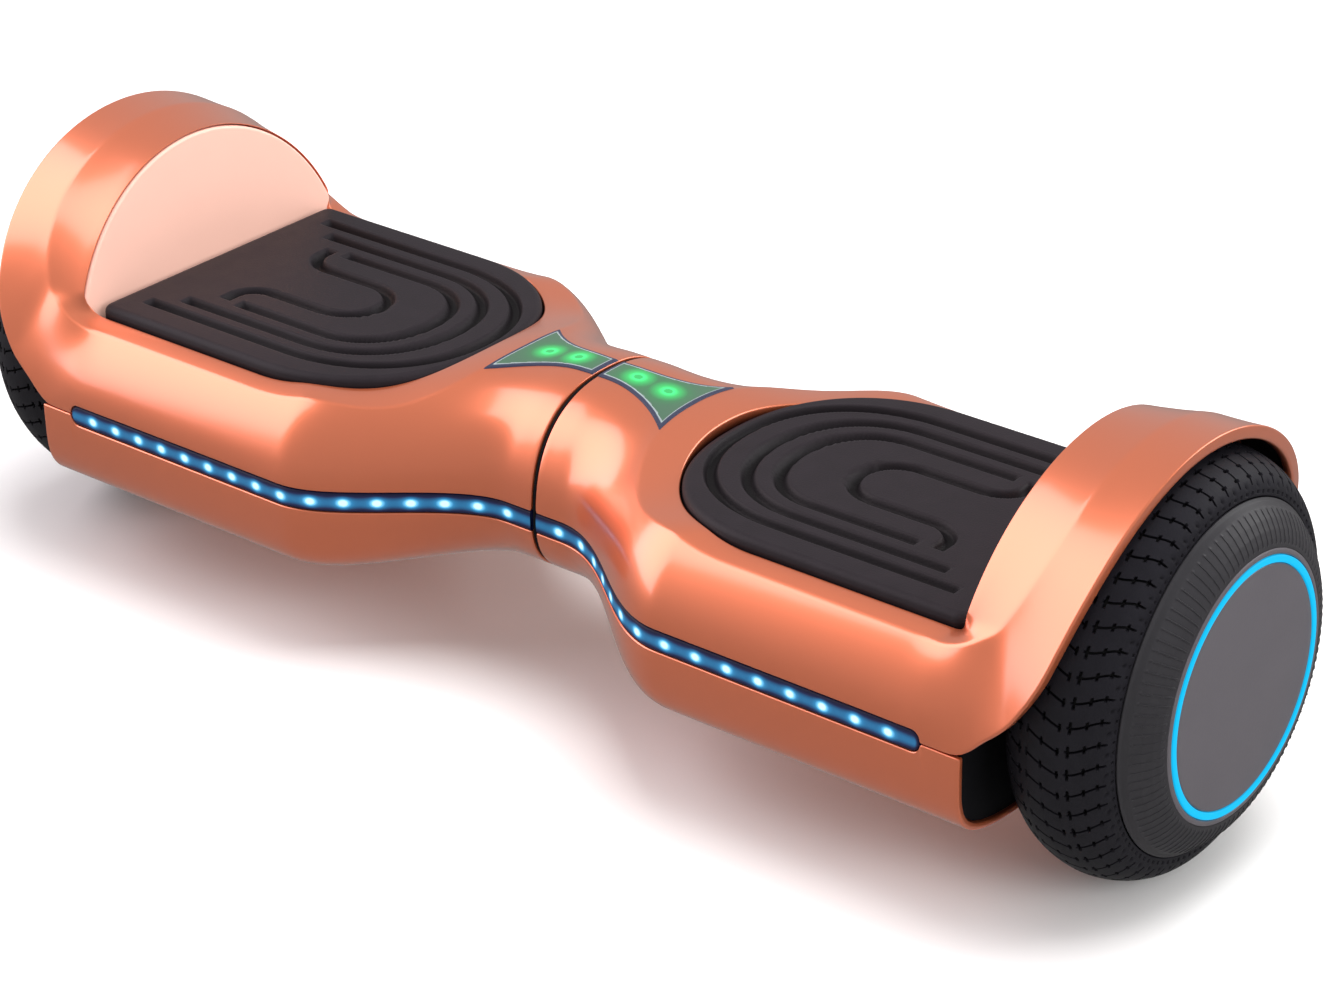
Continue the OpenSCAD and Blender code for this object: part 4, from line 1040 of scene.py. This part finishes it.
def build():
    """Makes every piece that stands for CAD nodes, on both halves."""
    place(seam_gasket("seam_gasket"), "left_half", "black_plastic", MAT["black_plastic"])
    holes = {"left": [hole("charge_socket"), hole("power_switch")], "right": []}
    for word, side in SIDES.items():
        half, wheel, pad = word + "_half", "wheel_" + word + "_body", "pad_" + word + "_body"
        shell = top_cover("top_shell_" + word, side)
        place(shell, half, "rose_gold", MAT["rose_gold"], "top_cover_" + word)
        shell = bottom_cover("bottom_shell_" + word, side, holes[word])
        place(shell, half, "rose_gold", MAT["rose_gold"], "bottom_cover_" + word)
        # The fender panels take the paler satin copy of the rose gold, a painted highlight.
        panel = fender_panel("fender_plate_" + word, side)
        place(panel, half, "rose_gold", MAT["satin_gold_painted_highlight"], "fender_panel_" + word)
        place(footpad("rubber_pad_" + word, side), pad, "pad_rubber", MAT["pad_rubber"], "footpad_" + word)
        place(tyre("tread_tyre_" + word, side), wheel, "tyre", MAT["tyre"], "tyre_" + word)
        cone = hub_cone("ribbed_cone_" + word, side)
        place(cone, wheel, "hub_plastic", MAT["hub_plastic"], "hub_cone_" + word)
        disc, ring = disc_and_ring(side, word)
        place(disc, wheel, "hub_disc", MAT["hub_disc"], "hub_disc_" + word)
        place(ring, wheel, "ring_light", MAT["ring_light"], "ring_light_" + word)
        strip = led_strip("strip_lens_" + word, side, LAMPS[word])
        place(strip, half, "light_strip", MAT["light_strip"], "led_strip_" + word)
        lens = indicator_lens("arrow_lens_" + word, side)
        place(lens, half, "indicator", MAT["indicator"], "indicator_lens_" + word)


# ---------- stage ----------
def floor():
    """White floor, a little below the tyres and out of the mirror images."""
    mat = textured("floor", (0.92, 0.915, 0.91), 0.55, grain=30, bump=0.02, vary=0.008)
    n, half, below = 40, 6000, 0.2
    x, y = np.meshgrid(*[np.linspace(-half, half, n)] * 2, indexing="ij")
    mesh = bpy.data.meshes.new("floor")
    points = pts(x, y, -below).reshape(-1, 3) * MM
    mesh.from_pydata(points.tolist(), [], quads(n, n)[:, ::-1].tolist())
    obj = bpy.data.objects.new("floor", mesh)
    bpy.context.scene.collection.objects.link(obj)
    obj.data.materials.append(mat)
    obj.visible_glossy = False


def softbox(name, at, target, size, power, color=(1, 1, 1)):
    """Soft rectangular light at a place, turned to its target. Sizes are in metres and power in watts."""
    light = bpy.data.lights.new(name, "AREA")
    light.shape = "RECTANGLE"
    light.size, light.size_y = size
    light.energy = power
    light.color = color
    obj = bpy.data.objects.new(name, light)
    bpy.context.scene.collection.objects.link(obj)
    obj.location = at
    obj.rotation_mode = "QUATERNION"
    obj.rotation_quaternion = (Vector(target) - Vector(at)).to_track_quat("-Z", "Y")
    return obj


def world():
    """Pale studio: a grey that brightens from the floor to the zenith."""
    w = bpy.data.worlds.new("studio")
    bpy.context.scene.world = w
    w.use_nodes = True
    nodes, links = w.node_tree.nodes, w.node_tree.links
    back = nodes["Background"]
    coord = nodes.new("ShaderNodeTexCoord")
    split = nodes.new("ShaderNodeSeparateXYZ")
    links.new(coord.outputs["Generated"], split.inputs["Vector"])
    ramp = nodes.new("ShaderNodeValToRGB")
    stops = [(0.0, 0.28), (0.35, 0.28), (0.5, 0.4), (0.75, 0.45), (1.0, 0.5)]
    elements = ramp.color_ramp.elements
    while len(elements) < len(stops):
        elements.new(0.5)
    for element, (at, v) in zip(elements, stops):
        element.position = at
        element.color = (v, v * 0.985, v * 0.97, 1)
    rise = nodes.new("ShaderNodeMapRange")
    rise.inputs["From Min"].default_value = -1
    links.new(split.outputs["Z"], rise.inputs["Value"])
    links.new(rise.outputs["Result"], ramp.inputs["Fac"])
    links.new(ramp.outputs["Color"], back.inputs["Color"])
    back.inputs["Strength"].default_value = 1.0


def camera():
    """Camera of the photograph, solved from the positions of its edges. Angles are in degrees."""
    azimuth, elevation, roll = (math.radians(v) for v in (38.35, 26.651, -0.227))
    target, distance = Vector((0.04969, 0.00016, 0.09813)), 1.43271
    level, rise = math.cos(elevation), math.sin(elevation)
    back = Vector((math.sin(azimuth) * level, -math.cos(azimuth) * level, rise))
    right = Vector((math.cos(azimuth), math.sin(azimuth), 0))
    up = back.cross(right)
    x = math.cos(roll) * right + math.sin(roll) * up
    y = -math.sin(roll) * right + math.cos(roll) * up
    data = bpy.data.cameras.new("camera")
    data.sensor_width = 36
    data.lens = 96.87
    data.shift_x, data.shift_y = -0.02903, -0.02742
    data.clip_start, data.clip_end = 0.05, 50
    obj = bpy.data.objects.new("camera", data)
    bpy.context.scene.collection.objects.link(obj)
    at = target + back * distance
    obj.matrix_world = Matrix((*zip(x, y, back, at), (0, 0, 0, 1)))
    bpy.context.scene.camera = obj


build()
floor()
world()
softbox("key", (-1.95, -0.92, 1.33), (0, 0, 0.1), (2.15, 2.9), 51, (1.0, 0.88, 0.93))
softbox("rear", (1.2, 1.9, 1.1), (0, 0, 0.1), (1.6, 1.2), 17)
softbox("fill", (0.3, 0.4, 2.2), (0, 0, 0), (1.7, 1.7), 56).visible_glossy = False
softbox("side", (1.9, -0.3, 0.9), (-0.2, 0, 0.1), (1.0, 1.0), 20).visible_glossy = False
camera()
bpy.context.scene.view_settings.view_transform = "Standard"
